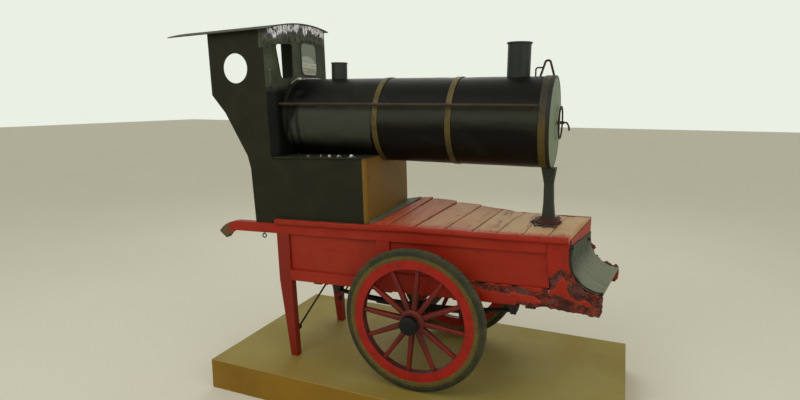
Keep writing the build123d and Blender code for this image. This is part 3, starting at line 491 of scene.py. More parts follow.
@dataclass(frozen=True)
class DeckPaint(PaintedWood):
    """Deck boards: red at the firebox and at their near ends, worn to pale wood elsewhere."""

    pale: Colour = tint(188, 156, 114)
    red: Colour = tint(184, 66, 28)

    def lay_out(self, bench: Bench) -> None:
        """Lays out the nodes."""
        streaks = bench.noise(30, 6, 0.62, self.grain.value)
        smear = bench.noise(7, 6, 0.65, warp=0.4)
        flecks = bench.noise(38, 8, 0.7)
        spot = bench.place()
        along, across = bench.part(spot, 0), bench.part(spot, 1)
        worn = bench.step(along + smear * 0.3 - streaks * 0.1, -0.06, 0.18)
        base = bench.blend(worn, self.paint, self.faded)
        wear = along * 0.5 + smear * 0.5 + streaks * 0.4 + bench.mark("plank") * 0.3
        bleached = bench.step(wear, 0.52, 0.9)
        base = bench.blend(bleached * 0.85, base, self.pale)
        ends = bench.step(across * -1 + smear * 0.12 + flecks * 0.06, 0.3, 0.345)
        base = bench.blend(ends * 0.8, base, self.red)
        first = 1 - bench.step(along + smear * 0.05, -0.155, -0.125)
        base = bench.blend(first * 0.75, base, self.red)
        blush = bench.step(bench.noise(3.5, 5, 0.6, warp=0.5), 0.48, 0.64)
        base = bench.blend(blush * 0.4, base, tint(172, 92, 66))
        grime = bench.step(streaks * 0.6 + smear * 0.4, 0.5, 0.68)
        base = bench.blend(grime * self.soiling, base, self.dirt)
        chips = bench.step(flecks, 0.64, 0.7)
        base = bench.blend(chips * 0.5, base, self.bare)
        veins = abs(bench.noise(6, 3, 0.5, tuple(s * 1.6 for s in self.grain.value), 0.5) - 0.5)
        split = (1 - bench.step(veins, 0.003, 0.014)) * bench.step(smear, 0.5, 0.62)
        base = bench.blend(split * 0.7, base, tint(60, 36, 26))
        relief = bench.relief(streaks * 0.6 + smear * 0.4 - split * 1.2, 0.002, 0.6, 0.0015)
        bench.skin(base, self.gloss + streaks * 0.22, relief)


@dataclass(frozen=True)
class RottenPaint(PaintedWood):
    """Red boards whose marked parts peel, blacken and show pale wood."""

    def lay_out(self, bench: Bench) -> None:
        """Lays out the nodes."""
        base, gloss, height = self.coat(bench)
        smear = bench.noise(9, 7, 0.68, warp=0.6)
        flecks = bench.noise(24, 8, 0.72, warp=0.5)
        rot = bench.mark("rot")
        decay = rot * 0.8 + flecks * 0.7 + smear * 0.45
        eaten = bench.step(decay, 0.98, 1.18)
        crust = bench.blend(bench.step(flecks, 0.4, 0.6), tint(70, 26, 18), tint(132, 44, 24))
        crust = bench.blend(bench.step(smear, 0.46, 0.6) * 0.75, crust, tint(100, 62, 58))
        veins = 1 - bench.step(abs(bench.noise(12, 4, 0.6, warp=1.0) - 0.5), 0.008, 0.04)
        crust = bench.blend(veins * 0.7, crust, tint(34, 16, 16))
        base = bench.blend(eaten, base, crust)
        rim = bench.step(decay, 0.92, 1.0) * (1 - eaten)
        base = bench.blend(rim * 0.35, base, tint(150, 78, 48))
        pale = bench.step(bench.noise(30, 4, 0.6), 0.66, 0.69) * bench.step(rot, 0.5, 0.85)
        base = bench.blend(pale * 0.8, base, tint(190, 156, 128))
        peel = height * 0.3 + flecks * eaten * 0.8
        bench.skin(base, gloss + eaten * 0.2, bench.relief(peel, 0.0053, 0.6, 0.0015))


@dataclass(frozen=True)
class DrumPaint(Finish):
    """Black drum paint, nearly black below, with a painted grey reflection at eye level and painted shade by
    the cab and along its rear top.
    """

    def lay_out(self, bench: Bench) -> None:
        """Lays out the nodes."""
        patch = bench.noise(6, 6, 0.62, (0.5, 1.0, 1.0), 0.5)
        grit = bench.noise(80, 4, 0.6)
        scratch = bench.noise(26, 5, 0.7, (0.15, 1.0, 1.5), 0.8)
        spot = bench.place()
        along, height = bench.part(spot, 0), bench.part(spot, 2)
        wander = height + patch * 0.06 + scratch * 0.03
        # Painted reflection: a grey band at eye level, lower towards the rear, stands in for the room
        # reflected in the drum
        low = 1 - bench.step(along + patch * 0.02, -0.29, -0.27)
        foot = 1.43 - low * 0.1
        eye_level_reflection = bench.step(wander - foot, 0.0, 0.07) * (1 - bench.step(wander, 1.525, 1.565))
        base = bench.blend(bench.step(wander, 1.52, 1.6), tint(16, 13, 9), tint(15, 13, 7))
        base = bench.blend(eye_level_reflection * (0.62 + low * 0.3), base, tint(64, 67, 58))
        base = bench.blend(bench.step(patch, 0.5, 0.68) * 0.3, base, tint(44, 44, 36))
        # Painted shade: the drum is darkened nearly to black next to the cab front, along its top towards the
        # rear, and in two thin lines by the cab
        seat = 1 - bench.step(along + patch * 0.05 - (height - 1.43) * 0.5, -0.72, -0.68)
        shade = bench.step(height, 1.47, 1.51) * (1 - bench.step(along + (height - 1.5) * 0.45, -0.60, -0.56))
        ridge_shade_line = 1 - bench.step(abs(abs(along + patch * 0.02 + 0.715) - 0.022), 0.003, 0.018)
        ridge_shade_line = ridge_shade_line * (1 - bench.step(height, 1.47, 1.5)) * 0.7
        base = bench.blend(seat.over(shade).over(ridge_shade_line) * 0.92, base, tint(6, 5, 6))
        streak = bench.step(scratch, 0.62, 0.7) * bench.step(patch, 0.45, 0.6)
        base = bench.blend(streak * 0.3, base, tint(78, 80, 72))
        belly = 1 - bench.step(height + patch * 0.01, 1.229, 1.24)
        base = bench.blend(belly * 0.5, base, tint(70, 34, 24))
        relief = bench.relief(patch * 0.35 + grit * 0.04, 0.01, 0.5)
        bench.skin(base, 0.34 + patch * 0.25, relief, Specular_IOR_Level=0.1)


@dataclass(frozen=True)
class RingPaint(Finish):
    """Front ring: black paint with a painted ochre sheen on its near, lower side, black at both rims."""

    def lay_out(self, bench: Bench) -> None:
        """Lays out the nodes."""
        patch = bench.noise(10, 6, 0.65, warp=0.4)
        spot = bench.place()
        along, height = bench.part(spot, 0), bench.part(spot, 2)
        # Painted sheen: the near, lower side is turned ochre
        ochre_sheen = 1 - bench.step(height + patch * 0.16, 1.46, 1.62)
        base = bench.blend(ochre_sheen, tint(48, 42, 32), tint(84, 70, 30))
        base = bench.blend(bench.step(patch, 0.5, 0.68) * 0.6, base, tint(42, 36, 26))
        rims = bench.step(along + patch * 0.004, 0.535, 0.5385).over(1 - bench.step(along, 0.5035, 0.507))
        base = bench.blend(rims * 0.85, base, tint(20, 18, 15))
        bench.skin(base, 0.42 + patch * 0.2, bench.relief(patch, 0.002, 0.4, 0.001), Metallic=0.15)


@dataclass(frozen=True)
class ScoopPaint(Finish):
    """Grey sheet of the scoop, painted darker and greenish at its top as shade and paler where it lies flat
    as lit.
    """

    def lay_out(self, bench: Bench) -> None:
        """Lays out the nodes."""
        patch = bench.noise(9, 6, 0.65, warp=0.5)
        streaks = bench.noise(26, 6, 0.6, (0.5, 1.0, 0.2))
        height = bench.part(bench.place(), 2) + patch * 0.05
        # Painted light and shade: pale where the sheet lies flat and faces the light, dark and greenish at
        # its top
        upper = bench.step(height, 0.77, 0.87)
        base = bench.blend(upper, tint(112, 116, 96), tint(48, 54, 36))
        base = bench.blend(bench.step(streaks, 0.5, 0.66) * 0.3, base, tint(78, 80, 60))
        base = bench.blend(bench.step(patch, 0.52, 0.64) * 0.35, base, tint(98, 84, 60))
        bench.skin(base, 0.5 + patch * 0.2, bench.relief(patch * 0.6 + streaks * 0.3, 0.006, 0.5))


@dataclass(frozen=True)
class TyreRubber(Finish):
    """Old solid tyre, with a painted khaki highlight on its sidewall next to the felloe."""

    def lay_out(self, bench: Bench) -> None:
        """Lays out the nodes."""
        radius = bench.from_axle()
        cloud = bench.noise(12, 6, 0.6)
        grit = bench.noise(80, 5, 0.65)
        base = bench.blend(bench.step(cloud, 0.4, 0.65), tint(42, 44, 28), tint(66, 62, 36))
        # Painted highlight: a khaki band on the sidewall next to the felloe
        lip = 1 - bench.step(radius + cloud * 0.008, 0.317, 0.326)
        base = bench.blend(lip * (0.35 + cloud * 0.9), base, tint(104, 88, 34))
        mud = bench.step(radius, 0.338, 0.349) * bench.step(grit, 0.35, 0.6)
        base = bench.blend(mud * 0.6, base, tint(98, 92, 74))
        cracks = (1 - bench.step(abs(bench.noise(45, 3, 0.5) - 0.5), 0.006, 0.03)) * 0.5
        base = bench.blend(cracks, base, tint(30, 32, 28))
        bench.skin(base, 0.62 + cloud * 0.25, bench.relief(grit * 0.5 - cracks, 0.0012, 0.5))


@dataclass(frozen=True)
class WheelPaint(Finish):
    """Red paint on a wheel, dirty towards the nave, chipped on its edges, with painted shade on the felloe's
    inner face.
    """

    paint: Colour = (0, 0, 0)
    dirt: Colour = (0, 0, 0)

    def lay_out(self, bench: Bench) -> None:
        """Lays out the nodes."""
        radius = bench.from_axle()
        smear = bench.noise(14, 6, 0.65, warp=0.4)
        flecks = bench.noise(55, 7, 0.7)
        inner = 1 - bench.step(radius + smear * 0.08, 0.1, 0.24)
        # Painted shade: the felloe's inner face is darkened
        felloe_inner_shade = bench.step(radius, 0.2505, 0.2515) * (1 - bench.step(radius, 0.2532, 0.2542))
        base = bench.blend(bench.step(smear, 0.42, 0.68) * 0.65, self.paint, self.dirt)
        base = bench.blend(inner * 0.45, base, self.dirt)
        base = bench.blend(felloe_inner_shade * 0.8, base, tint(44, 16, 14))
        chips = bench.step(flecks, 0.7, 0.74)
        worn = bench.edge(0.003) * bench.step(smear, 0.38, 0.6)
        base = bench.blend(chips.over(worn * 0.6), base, tint(70, 36, 26))
        height = smear * 0.5 + flecks * 0.3 - chips * 0.4
        bench.skin(base, 0.4 + smear * 0.25, bench.relief(height, 0.0015, 0.5, 0.0015))


@dataclass(frozen=True)
class DustyGlass(Finish):
    """Thin pane: grey film above, thick pale dust below."""

    def lay_out(self, bench: Bench) -> None:
        """Lays out the nodes."""
        cloud = bench.noise(14, 5, 0.6)
        height = bench.part(bench.place(), 2) + cloud * 0.02
        dust = 1 - bench.step(height, 1.73, 1.742)
        bands = bench.step(bench.noise(5, 3, 0.5, (1.0, 1.0, 16.0)), 0.45, 0.6)
        film = bench.blend(bands, tint(214, 214, 202), tint(172, 174, 160))
        base = bench.blend(dust, tint(146, 156, 142), film)
        bench.skin(base, 0.3 + dust * 0.4, Alpha=0.66 + dust * 0.26, IOR=1.45)


@dataclass(frozen=True)
class CrumpledTin(Finish):
    """Crumpled sheet whose dark paint has flaked, its bare tin drawn as painted white glints with a painted
    lavender sheen round them.
    """

    def lay_out(self, bench: Bench) -> None:
        """Lays out the nodes."""
        streaks = bench.noise(46, 7, 0.75, (1.0, 1.0, 0.3), 1.2)
        patch = bench.noise(20, 5, 0.65, warp=0.6)
        share = bench.mark("bright") + streaks * 1.5
        # Painted highlight: where the marked share is high the tin is painted near white
        bright = bench.step(share, 1.67, 1.77)
        base = bench.blend(bench.step(patch, 0.4, 0.62), tint(44, 48, 36), tint(78, 82, 60))
        # Painted sheen: a lavender halo round each painted glint
        rim = bench.step(share, 1.3, 1.5) * (1 - bright) * bench.step(bench.mark("bright"), 0.1, 0.5)
        between = bench.blend(bench.step(patch, 0.46, 0.58), tint(30, 27, 34), tint(108, 96, 124))
        base = bench.blend(rim * 0.8, base, between)
        glint_white = bench.blend(bench.step(patch, 0.45, 0.6), tint(255, 255, 255), tint(224, 216, 240))
        base = bench.blend(bright, base, glint_white)
        relief = bench.relief(streaks + patch, 0.004, 0.7)
        bench.skin(base, 0.5 - bright * 0.2, relief, Metallic=0.2 * bright)


@dataclass(frozen=True)
class PlinthBoard(Finish):
    """Display plinth: its top painted olive-grey and lighter as lit from above, its sides painted brown and
    darker as shade.
    """

    def lay_out(self, bench: Bench) -> None:
        """Lays out the nodes."""
        # Painted light and shade: upward faces take the lit top colour, the other faces the darker side
        # colour
        top = bench.step(bench.facing(2), 0.4, 0.8)
        cloud = bench.noise(2.2, 5, 0.55)
        grain = bench.noise(60, 4, 0.6, (0.3, 0.3, 1.0))
        sides = bench.blend(bench.step(cloud, 0.35, 0.7), tint(142, 106, 18), tint(126, 92, 16))
        upper = bench.blend(bench.step(cloud, 0.35, 0.7), tint(142, 122, 50), tint(152, 138, 72))
        base = bench.blend(top, sides, upper)
        base = bench.blend(bench.edge(0.004) * 0.3, base, tint(190, 176, 140))
        bench.skin(base, 0.55 + grain * 0.15, bench.relief(grain, 0.0006, 0.4, 0.002))


# Finishes of wood: colours of its paint, faded paint, dirt and bare wood, its grain, and how much it
# has faded, is soiled and is chipped
REDS = (tint(154, 28, 2), tint(164, 48, 18), tint(106, 20, 4), tint(62, 34, 20))
POST_REDS = (tint(128, 24, 2), tint(138, 38, 14), *REDS[2:])
PANEL_REDS = (tint(152, 30, 2), tint(156, 46, 18), *REDS[2:])
DECK_HUES = (tint(164, 84, 44), tint(182, 124, 84), tint(116, 66, 38), tint(84, 52, 34))

RED_WOOD = PaintedWood("red_wood", *REDS, Grain.ALONG, 0.45, 0.45, 0.2)
RED_POST = PaintedWood("red_post", *POST_REDS, Grain.UP, 0.45, 0.5, 0.2)
RED_PANEL = PaintedWood("red_panel", *PANEL_REDS, Grain.ALONG, 0.5, 0.5, 0.1)
RED_SHAFT = ShaftPaint("red_shaft", *REDS, Grain.ALONG, 0.45, 0.4)
DECK_WOOD = DeckPaint("deck_wood", *DECK_HUES, Grain.ACROSS, soiling=0.6, gloss=0.5)
CHEEK_WOOD = RottenPaint("cheek_wood", *REDS, Grain.ALONG, 0.45, 0.45, 0.2)
INNER_WOOD = BareWood("inner_wood", tint(96, 72, 48), tint(52, 38, 28), Grain.ALONG)
CROSS_WOOD = BareWood("cross_wood", tint(88, 66, 46), tint(48, 36, 26), Grain.ACROSS)


def sheet(name: str, hues: tuple, shares: tuple, **more: object) -> PaintedSheet:
    """A painted sheet.

    Args:
        name: its name.
        hues: screen colours of its paint, haze, bared edges and rust.
        shares: how hazy and rusty it is, its gloss and its dents.
        more: its other fields.

    Returns:
        The finish.
    """
    return PaintedSheet(name, *(tint(*hue) for hue in hues), *shares, **more)


CAB_HUES = ((29, 29, 15), (42, 42, 24), (80, 80, 56), (66, 50, 28))
FRONT_HUES = ((54, 60, 46), (86, 92, 76), (104, 100, 108), (66, 56, 60))
FLUE_HUES = ((28, 31, 28), (54, 60, 54), (88, 92, 84), (56, 36, 26))
FIREBOX_HUES = ((23, 23, 12), (38, 37, 22), (76, 76, 52), (60, 46, 24))
BROWN_HUES = ((118, 86, 22), (130, 98, 34), (132, 106, 50), (78, 46, 14))
ROOF_HUES = ((34, 36, 24), (74, 76, 46), (98, 98, 70), (78, 56, 34))
GREY_HUES = ((92, 100, 84), (112, 118, 98), (60, 62, 52), (98, 76, 50))
DISC_HUES = ((116, 128, 106), (138, 148, 126), (60, 64, 54), (66, 72, 58))

CAB_SHEET = sheet("cab_sheet", CAB_HUES, (0.6, 0.05, 0.45, 0.5), sheen=0.18)
# The cab front is painted near black as shade below 1.59 to 1.66 metres
CAB_FRONT = sheet("cab_front", FRONT_HUES, (0.75, 0.05, 0.4, 0.6), shaded=(1.59, 1.66), sheen=0.1)
FLUE_SHEET = sheet("flue_sheet", FLUE_HUES, (0.6, 0.06, 0.34, 0.3))
FIREBOX_SHEET = sheet("firebox_sheet", FIREBOX_HUES, (0.5, 0.08, 0.5, 0.45), sheen=0.22)
FIREBOX_BROWN = sheet("firebox_brown", BROWN_HUES, (0.6, 0.3, 0.45, 0.4))
ROOF_SHEET = sheet("roof_sheet", ROOF_HUES, (0.5, 0.1, 0.45, 0.4))
GREY_SHEET = sheet("grey_sheet", GREY_HUES, (0.6, 0.08, 0.5, 0.35))
DISC_SHEET = sheet("disc_sheet", DISC_HUES, (0.6, 0.35, 0.5, 0.3), stretch=(1.0, 2.2, 0.35))


def iron(name: str, hues: tuple, *shares: float) -> OldMetal:
    """An old metal.

    Args:
        name: its name.
        hues: screen colours of the metal, its tarnish and its crust.
        shares: how metallic it is, its gloss, and how tarnished and crusted it is.

    Returns:
        The finish.
    """
    return OldMetal(name, *(tint(*hue) for hue in hues), *shares)


BRASS = iron("brass_band", ((94, 80, 40), (62, 52, 30), (38, 34, 24)), 0.25, 0.45, 0.6, 0.25)
BLACK_IRON = iron("black_iron", ((26, 25, 22), (38, 34, 29), (66, 46, 32)), 0.3, 0.5, 0.5, 0.25)
COLUMN_IRON = iron("column_iron", ((48, 52, 46), (60, 58, 46), (76, 50, 38)), 0.2, 0.5, 0.5, 0.25)
SCRAP_IRON = iron("scrap_iron", ((34, 30, 24), (78, 52, 40), (126, 92, 66)), 0.1, 0.55, 0.6, 0.6)
WORN_STEEL = iron("worn_steel", ((92, 92, 88), (34, 33, 30), (40, 36, 30)), 0.85, 0.22, 0.6, 0.15)
FOOT_CRUST = iron("foot_crust", ((76, 32, 24), (40, 26, 24), (104, 54, 40)), 0.0, 0.6, 0.7, 0.5)
RAIL_IRON = iron("rail_iron", ((54, 42, 30), (36, 28, 20), (70, 48, 36)), 0.2, 0.45, 0.6, 0.25)
CAP_IRON = iron("cap_iron", ((10, 12, 10), (18, 20, 15), (34, 32, 24)), 0.3, 0.4, 0.5, 0.2)

FELLOE_PAINT = WheelPaint("felloe_paint", tint(160, 20, 2), tint(110, 20, 6))
SPOKE_PAINT = WheelPaint("spoke_paint", tint(112, 26, 14), tint(64, 22, 14))
NAVE_PAINT = WheelPaint("nave_paint", tint(118, 32, 22), tint(58, 28, 24))
DRUM_SHEET = DrumPaint("drum_sheet")
RING_METAL = RingPaint("ring_sheet")
SCOOP_SHEET = ScoopPaint("scoop_sheet")
TYRE = TyreRubber("tyre_rubber")
GLASS = DustyGlass("pane_glass")
TIN = CrumpledTin("crumpled_tin")
PLINTH = PlinthBoard("plinth_wood")


# Meshes


def linked(name: str, data: bpy.types.ID) -> bpy.types.Object:
    """Puts data into the scene as an object."""
    made = bpy.data.objects.new(name, data)
    bpy.context.scene.collection.objects.link(made)
    return made


def welded(mesh: bpy.types.Mesh, distance: float = 1e-5) -> bmesh.types.BMesh:
    """A mesh opened for edits, its doubled points merged."""
    opened = bmesh.new()
    opened.from_mesh(mesh)
    bmesh.ops.remove_doubles(opened, verts=opened.verts, dist=distance)
    return opened


def cut_at(opened: bmesh.types.BMesh, along: float, **clear: bool) -> None:
    """Cuts an opened mesh square to the cart.

    Args:
        opened: the mesh.
        along: where it is cut.
        clear: clear_inner or clear_outer, for the side that goes.
    """
    parts = opened.verts[:] + opened.edges[:] + opened.faces[:]
    bmesh.ops.bisect_plane(opened, geom=parts, plane_co=lay(along, 0, 0), plane_no=CART_FORWARD, **clear)


def closed(opened: bmesh.types.BMesh, name: str) -> bpy.types.Mesh:
    """Turns an opened mesh into a new one."""
    made = bpy.data.meshes.new(name)
    opened.to_mesh(made)
    opened.free()
    return made


def modified(
    mesh: bpy.types.Mesh, name: str, kind: str, settings: dict, inputs: dict | None = None
) -> bpy.types.Mesh:
    """Runs one modifier over a mesh.

    Args:
        mesh: the mesh it starts from.
        name: the new mesh's name.
        kind: the modifier's type.
        settings: its properties.
        inputs: values for a node tree, by identifier.

    Returns:
        The new mesh.
    """
    holder = linked(f"{name}_holder", mesh)
    modifier = holder.modifiers.new(name, kind)
    for key, value in settings.items():
        setattr(modifier, key, value)
    for key, value in (inputs or {}).items():
        modifier[key] = value
    graph = bpy.context.evaluated_depsgraph_get()
    made = bpy.data.meshes.new_from_object(holder.evaluated_get(graph))
    made.name = name
    bpy.data.objects.remove(holder)
    return made


@dataclass
class Shape:
    """A mesh while it is put together."""

    points: list[Vector] = field(default_factory=list)
    faces: list[tuple[int, ...]] = field(default_factory=list)

    def grid(
        self,
        at: Callable[[float, float], Vector],
        rows: int,
        columns: int,
        ring: bool = False,
        inward: bool = False,
    ) -> None:
        """Adds a grid of quads over a surface.

        Args:
            at: the surface's point at two shares of 0 to 1.
            rows: cells along the first share.
            columns: cells along the second share.
            ring: whether the second share closes on itself.
            inward: whether the faces are turned over.
        """
        start = len(self.points)
        across = columns if ring else columns + 1
        for row in range(rows + 1):
            for column in range(across):
                self.points.append(at(row / rows, column / columns))
        for row in range(rows):
            for column in range(columns):
                near = start + row * across + column
                side = start + row * across + (column + 1) % across
                face = (near, side, side + across, near + across)
                self.faces.append(face[::-1] if inward else face)

    def slab(
        self,
        at: Callable[[float, float, float], Vector],
        top: float,
        under: float,
        rows: int,
        columns: int,
    ) -> None:
        """Adds a closed plate that follows a surface.

        Args:
            at: the surface's point at two shares of 0 to 1, lifted by some metres.
            top, under: how far its outer and inner faces are lifted.
            rows, columns: cells each way.
        """
        first = len(self.points)
        self.grid(lambda s, t: at(s, t, top), rows, columns)
        second = len(self.points)
        self.grid(lambda s, t: at(s, t, under), rows, columns, inward=True)
        wide = columns + 1
        rim = list(range(wide))
        rim += [r * wide + columns for r in range(1, rows + 1)]
        rim += [rows * wide + c for c in range(columns - 1, -1, -1)]
        rim += [r * wide for r in range(rows - 1, 0, -1)]
        for here, there in zip(rim, rim[1:] + rim[:1]):
            self.faces.append((first + there, first + here, second + here, second + there))

    def lid(self, first: int, count: int, inward: bool = False) -> None:
        """Adds one face over points that follow each other."""
        face = tuple(range(first, first + count))
        self.faces.append(face[::-1] if inward else face)

    def rod(self, path: Sequence[Vector], radius: float, sides: int = 10, swell: float = 0.0) -> None:
        """Adds a closed round rod along a path.

        Args:
            path: the points it follows.
            radius: its radius.
            sides: faces around it.
            swell: how much its radius wanders, as a share.
        """
        start = len(self.points)
        aside = Vector((0.3, 0.5, 0.8))
        for number, point in enumerate(path):
            ahead = (path[min(number + 1, len(path) - 1)] - path[max(number - 1, 0)]).normalized()
            aside = (aside - ahead * aside.dot(ahead)).normalized()
            third = ahead.cross(aside)
            size = radius * (1 + swell * rough(point, 30))
            for side in range(sides):
                turn = math.tau * side / sides
                self.points.append(point + (aside * math.cos(turn) + third * math.sin(turn)) * size)
        for row in range(len(path) - 1):
            for side in range(sides):
                near = start + row * sides + side
                next_one = start + row * sides + (side + 1) % sides
                self.faces.append((near, next_one, next_one + sides, near + sides))
        self.lid(start, sides, inward=True)
        self.lid(start + (len(path) - 1) * sides, sides)

    def piece(self, name: str, finish: Finish, slot: str, **more: object) -> None:
        """Turns it into a piece whose faces point outwards; more is what settle takes."""
        mesh = bpy.data.meshes.new(name)
        mesh.from_pydata([tuple(p) for p in self.points], [], self.faces)
        opened = welded(mesh, 1e-6)
        bmesh.ops.recalc_face_normals(opened, faces=opened.faces)
        opened.to_mesh(mesh)
        opened.free()
        mesh.update()
        settle(mesh, name, finish, slot, **more)


def settle(
    mesh: bpy.types.Mesh,
    name: str,
    finish: Finish,
    slot: str,
    body: str = CART,
    instead: Sequence[str] = (),
    sharp: float = 35,
    marks: Marks | None = None,
) -> None:
    """Gives a mesh its object, finish and body.

    Args:
        mesh: the finished mesh, in place.
        name: the piece's name.
        finish: what it is finished with.
        slot: the record's slot of that finish; it is not used.
        body: the body it rides on.
        instead: the nodes that it stands for.
        sharp: degrees over which an edge stays sharp.
        marks: shares by name that its finish reads at each point.
    """
    piece = linked(name, mesh)
    mesh.materials.clear()
    mesh.materials.append(finish.make())
    mesh.shade_smooth()
    mesh.set_sharp_from_angle(angle=math.radians(sharp))
    for title, share in (marks or {}).items():
        layer = mesh.attributes.new(title, "FLOAT", "POINT")
        layer.data.foreach_set("value", [share(vertex.co) for vertex in mesh.vertices])
    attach(piece, body)
    if instead:
        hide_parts(*instead)
    log.info("%s: %d faces", name, len(mesh.polygons))


def dress(finish: Finish, *nodes: str) -> None:
    """Gives carried-over nodes their finish.

    Args:
        finish: the finish.
        nodes: the nodes' names.
    """
    for name in nodes:
        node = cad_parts[name]
        if not node.material_slots:
            node.data.materials.append(None)
        for place in node.material_slots:
            place.material = finish.make()
        log.info("%s: %s", name, finish.name)


class StudKind(Enum):
    """Heads that repeat over the cart: the node that makes one, and its values."""

    RIVET = ("UVSphere", {"Segments": 8, "Rings": 4, "Radius": 1.0})
    HEX = ("Cone", {"Vertices": 6, "Radius Bottom": 1.0, "Radius Top": 0.86, "Depth": 1.0})
    NAIL = ("Cone", {"Vertices": 7, "Radius Bottom": 1.0, "Radius Top": 0.86, "Depth": 1.0})


@dataclass(frozen=True)
class Studs:
    """A field of like fastenings, set out by Geometry Nodes."""

    name: str
    kind: StudKind
    radius: float
    height: float
    finish: Finish = BLACK_IRON
    slot: str = "black_iron"
    body: str = CART
    spread: float = 0.12
    seed: int = 5

    def tree(self) -> tuple[bpy.types.NodeTree, dict[str, object]]:
        """Builds the node tree.

        Returns:
            The tree and its inputs' values by identifier.
        """
        tree = bpy.data.node_groups.new(f"{self.name}_tree", "GeometryNodeTree")
        add = tree.interface.new_socket
        add("Seats", in_out="INPUT", socket_type="NodeSocketGeometry")
        inputs = {}
        for name, kind in (("Radius", "Float"), ("Height", "Float"), ("Spread", "Float"), ("Seed", "Int")):
            made = add(name, in_out="INPUT", socket_type=f"NodeSocket{kind}")
            inputs[made.identifier] = getattr(self, name.lower())
        add("Heads", in_out="OUTPUT", socket_type="NodeSocketGeometry")
        bench = Bench(tree)
        seats, radius, height, spread, seed = (
            bench.node("NodeGroupInput", output=name)
            for name in ("Seats", "Radius", "Height", "Spread", "Seed")
        )
        head = bench.node(f"GeometryNodeMesh{self.kind.value[0]}", values=self.kind.value[1])
        size = bench.node("ShaderNodeCombineXYZ", values={0: radius, 1: radius, 2: height})
        sized = bench.node("GeometryNodeTransform", values={"Geometry": head, "Scale": size})
        named = {"data_type": "FLOAT_VECTOR"}
        facing = bench.node("GeometryNodeInputNamedAttribute", named, {"Name": "facing"})
        turned = bench.node("FunctionNodeAlignRotationToVector", {"axis": "Z"}, {"Vector": facing})
        limits = {2: 1 - spread, 3: 1.0, "Seed": seed}
        chance = bench.node("FunctionNodeRandomValue", {"data_type": "FLOAT"}, limits, 1)
        places = {"Points": seats, "Instance": sized, "Rotation": turned, "Scale": chance}
        heads = bench.node("GeometryNodeInstanceOnPoints", values=places)
        real = bench.node("GeometryNodeRealizeInstances", values={0: heads})
        paint = {"Geometry": real, "Material": self.finish.make()}
        bench.node("NodeGroupOutput", values={"Heads": bench.node("GeometryNodeSetMaterial", values=paint)})
        return tree, inputs

    def set_out(self, seats: Iterable[Seat]) -> None:
        """Puts a head on each seat, all in one plain mesh piece.

        Args:
            seats: places and the directions that the heads face.
        """
        seats = list(seats)
        points = bpy.data.meshes.new(f"{self.name}_seats")
        points.from_pydata([tuple(place) for place, _ in seats], [], [])
        facing = points.attributes.new("facing", "FLOAT_VECTOR", "POINT")
        for number, (_, way) in enumerate(seats):
            facing.data[number].vector = way.normalized()
        tree, inputs = self.tree()
        mesh = modified(points, self.name, "NODES", {"node_group": tree}, inputs)
        if "facing" in mesh.attributes:
            mesh.attributes.remove(mesh.attributes["facing"])
        settle(mesh, self.name, self.finish, self.slot, self.body)


def line_of(start: Vector, end: Vector, count: int, facing: Vector) -> list[Seat]:
    """Seats at even steps on a straight line.

    Args:
        start, end: the line's ends.
        count: how many seats.
        facing: the way they face.

    Returns:
        The seats.
    """
    steps = max(1, count - 1)
    return [(start.lerp(end, number / steps), facing) for number in range(count)]


# The cart


@dataclass
class Plinth:
    """The low display plinth."""

    screw_inset: float = 0.06
    screw_rows: int = 5

    def build(self) -> None:
        """Dresses the plinth and sets its screws."""
        dress(PLINTH, "plinth")
        low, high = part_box("plinth")
        top = high.z
        seats = []
        for across in (low.y + self.screw_inset, high.y - self.screw_inset):
            start = Vector((low.x + self.screw_inset, across, top))
            end = Vector((high.x - self.screw_inset, across, top))
            seats += line_of(start, end, self.screw_rows, Vector((0, 0, 1)))
        Studs("plinth_screws", StudKind.NAIL, 0.0045, 0.001, PLINTH, "plinth_wood").set_out(seats)


@dataclass(frozen=True)
class Decay:
    """A rotten streak on a nose cheek: marks along and over, and how far it spreads."""

    path: tuple
    spread: float
    strength: float = 1.0

    def share(self, along: float, height: float) -> float:
        """How rotten a place is, 0 to 1."""
        nearest = 9.0
        for (u0, w0), (u1, w1) in zip(self.path, self.path[1:]):
            run_u, run_w = u1 - u0, w1 - w0
            run = ((along - u0) * run_u + (height - w0) * run_w) / (run_u**2 + run_w**2)
            run = min(1.0, max(0.0, run))
            nearest = min(nearest, math.hypot(along - u0 - run_u * run, height - w0 - run_w * run))
        return self.strength * (1 - ease(nearest, self.spread * 0.35, self.spread))


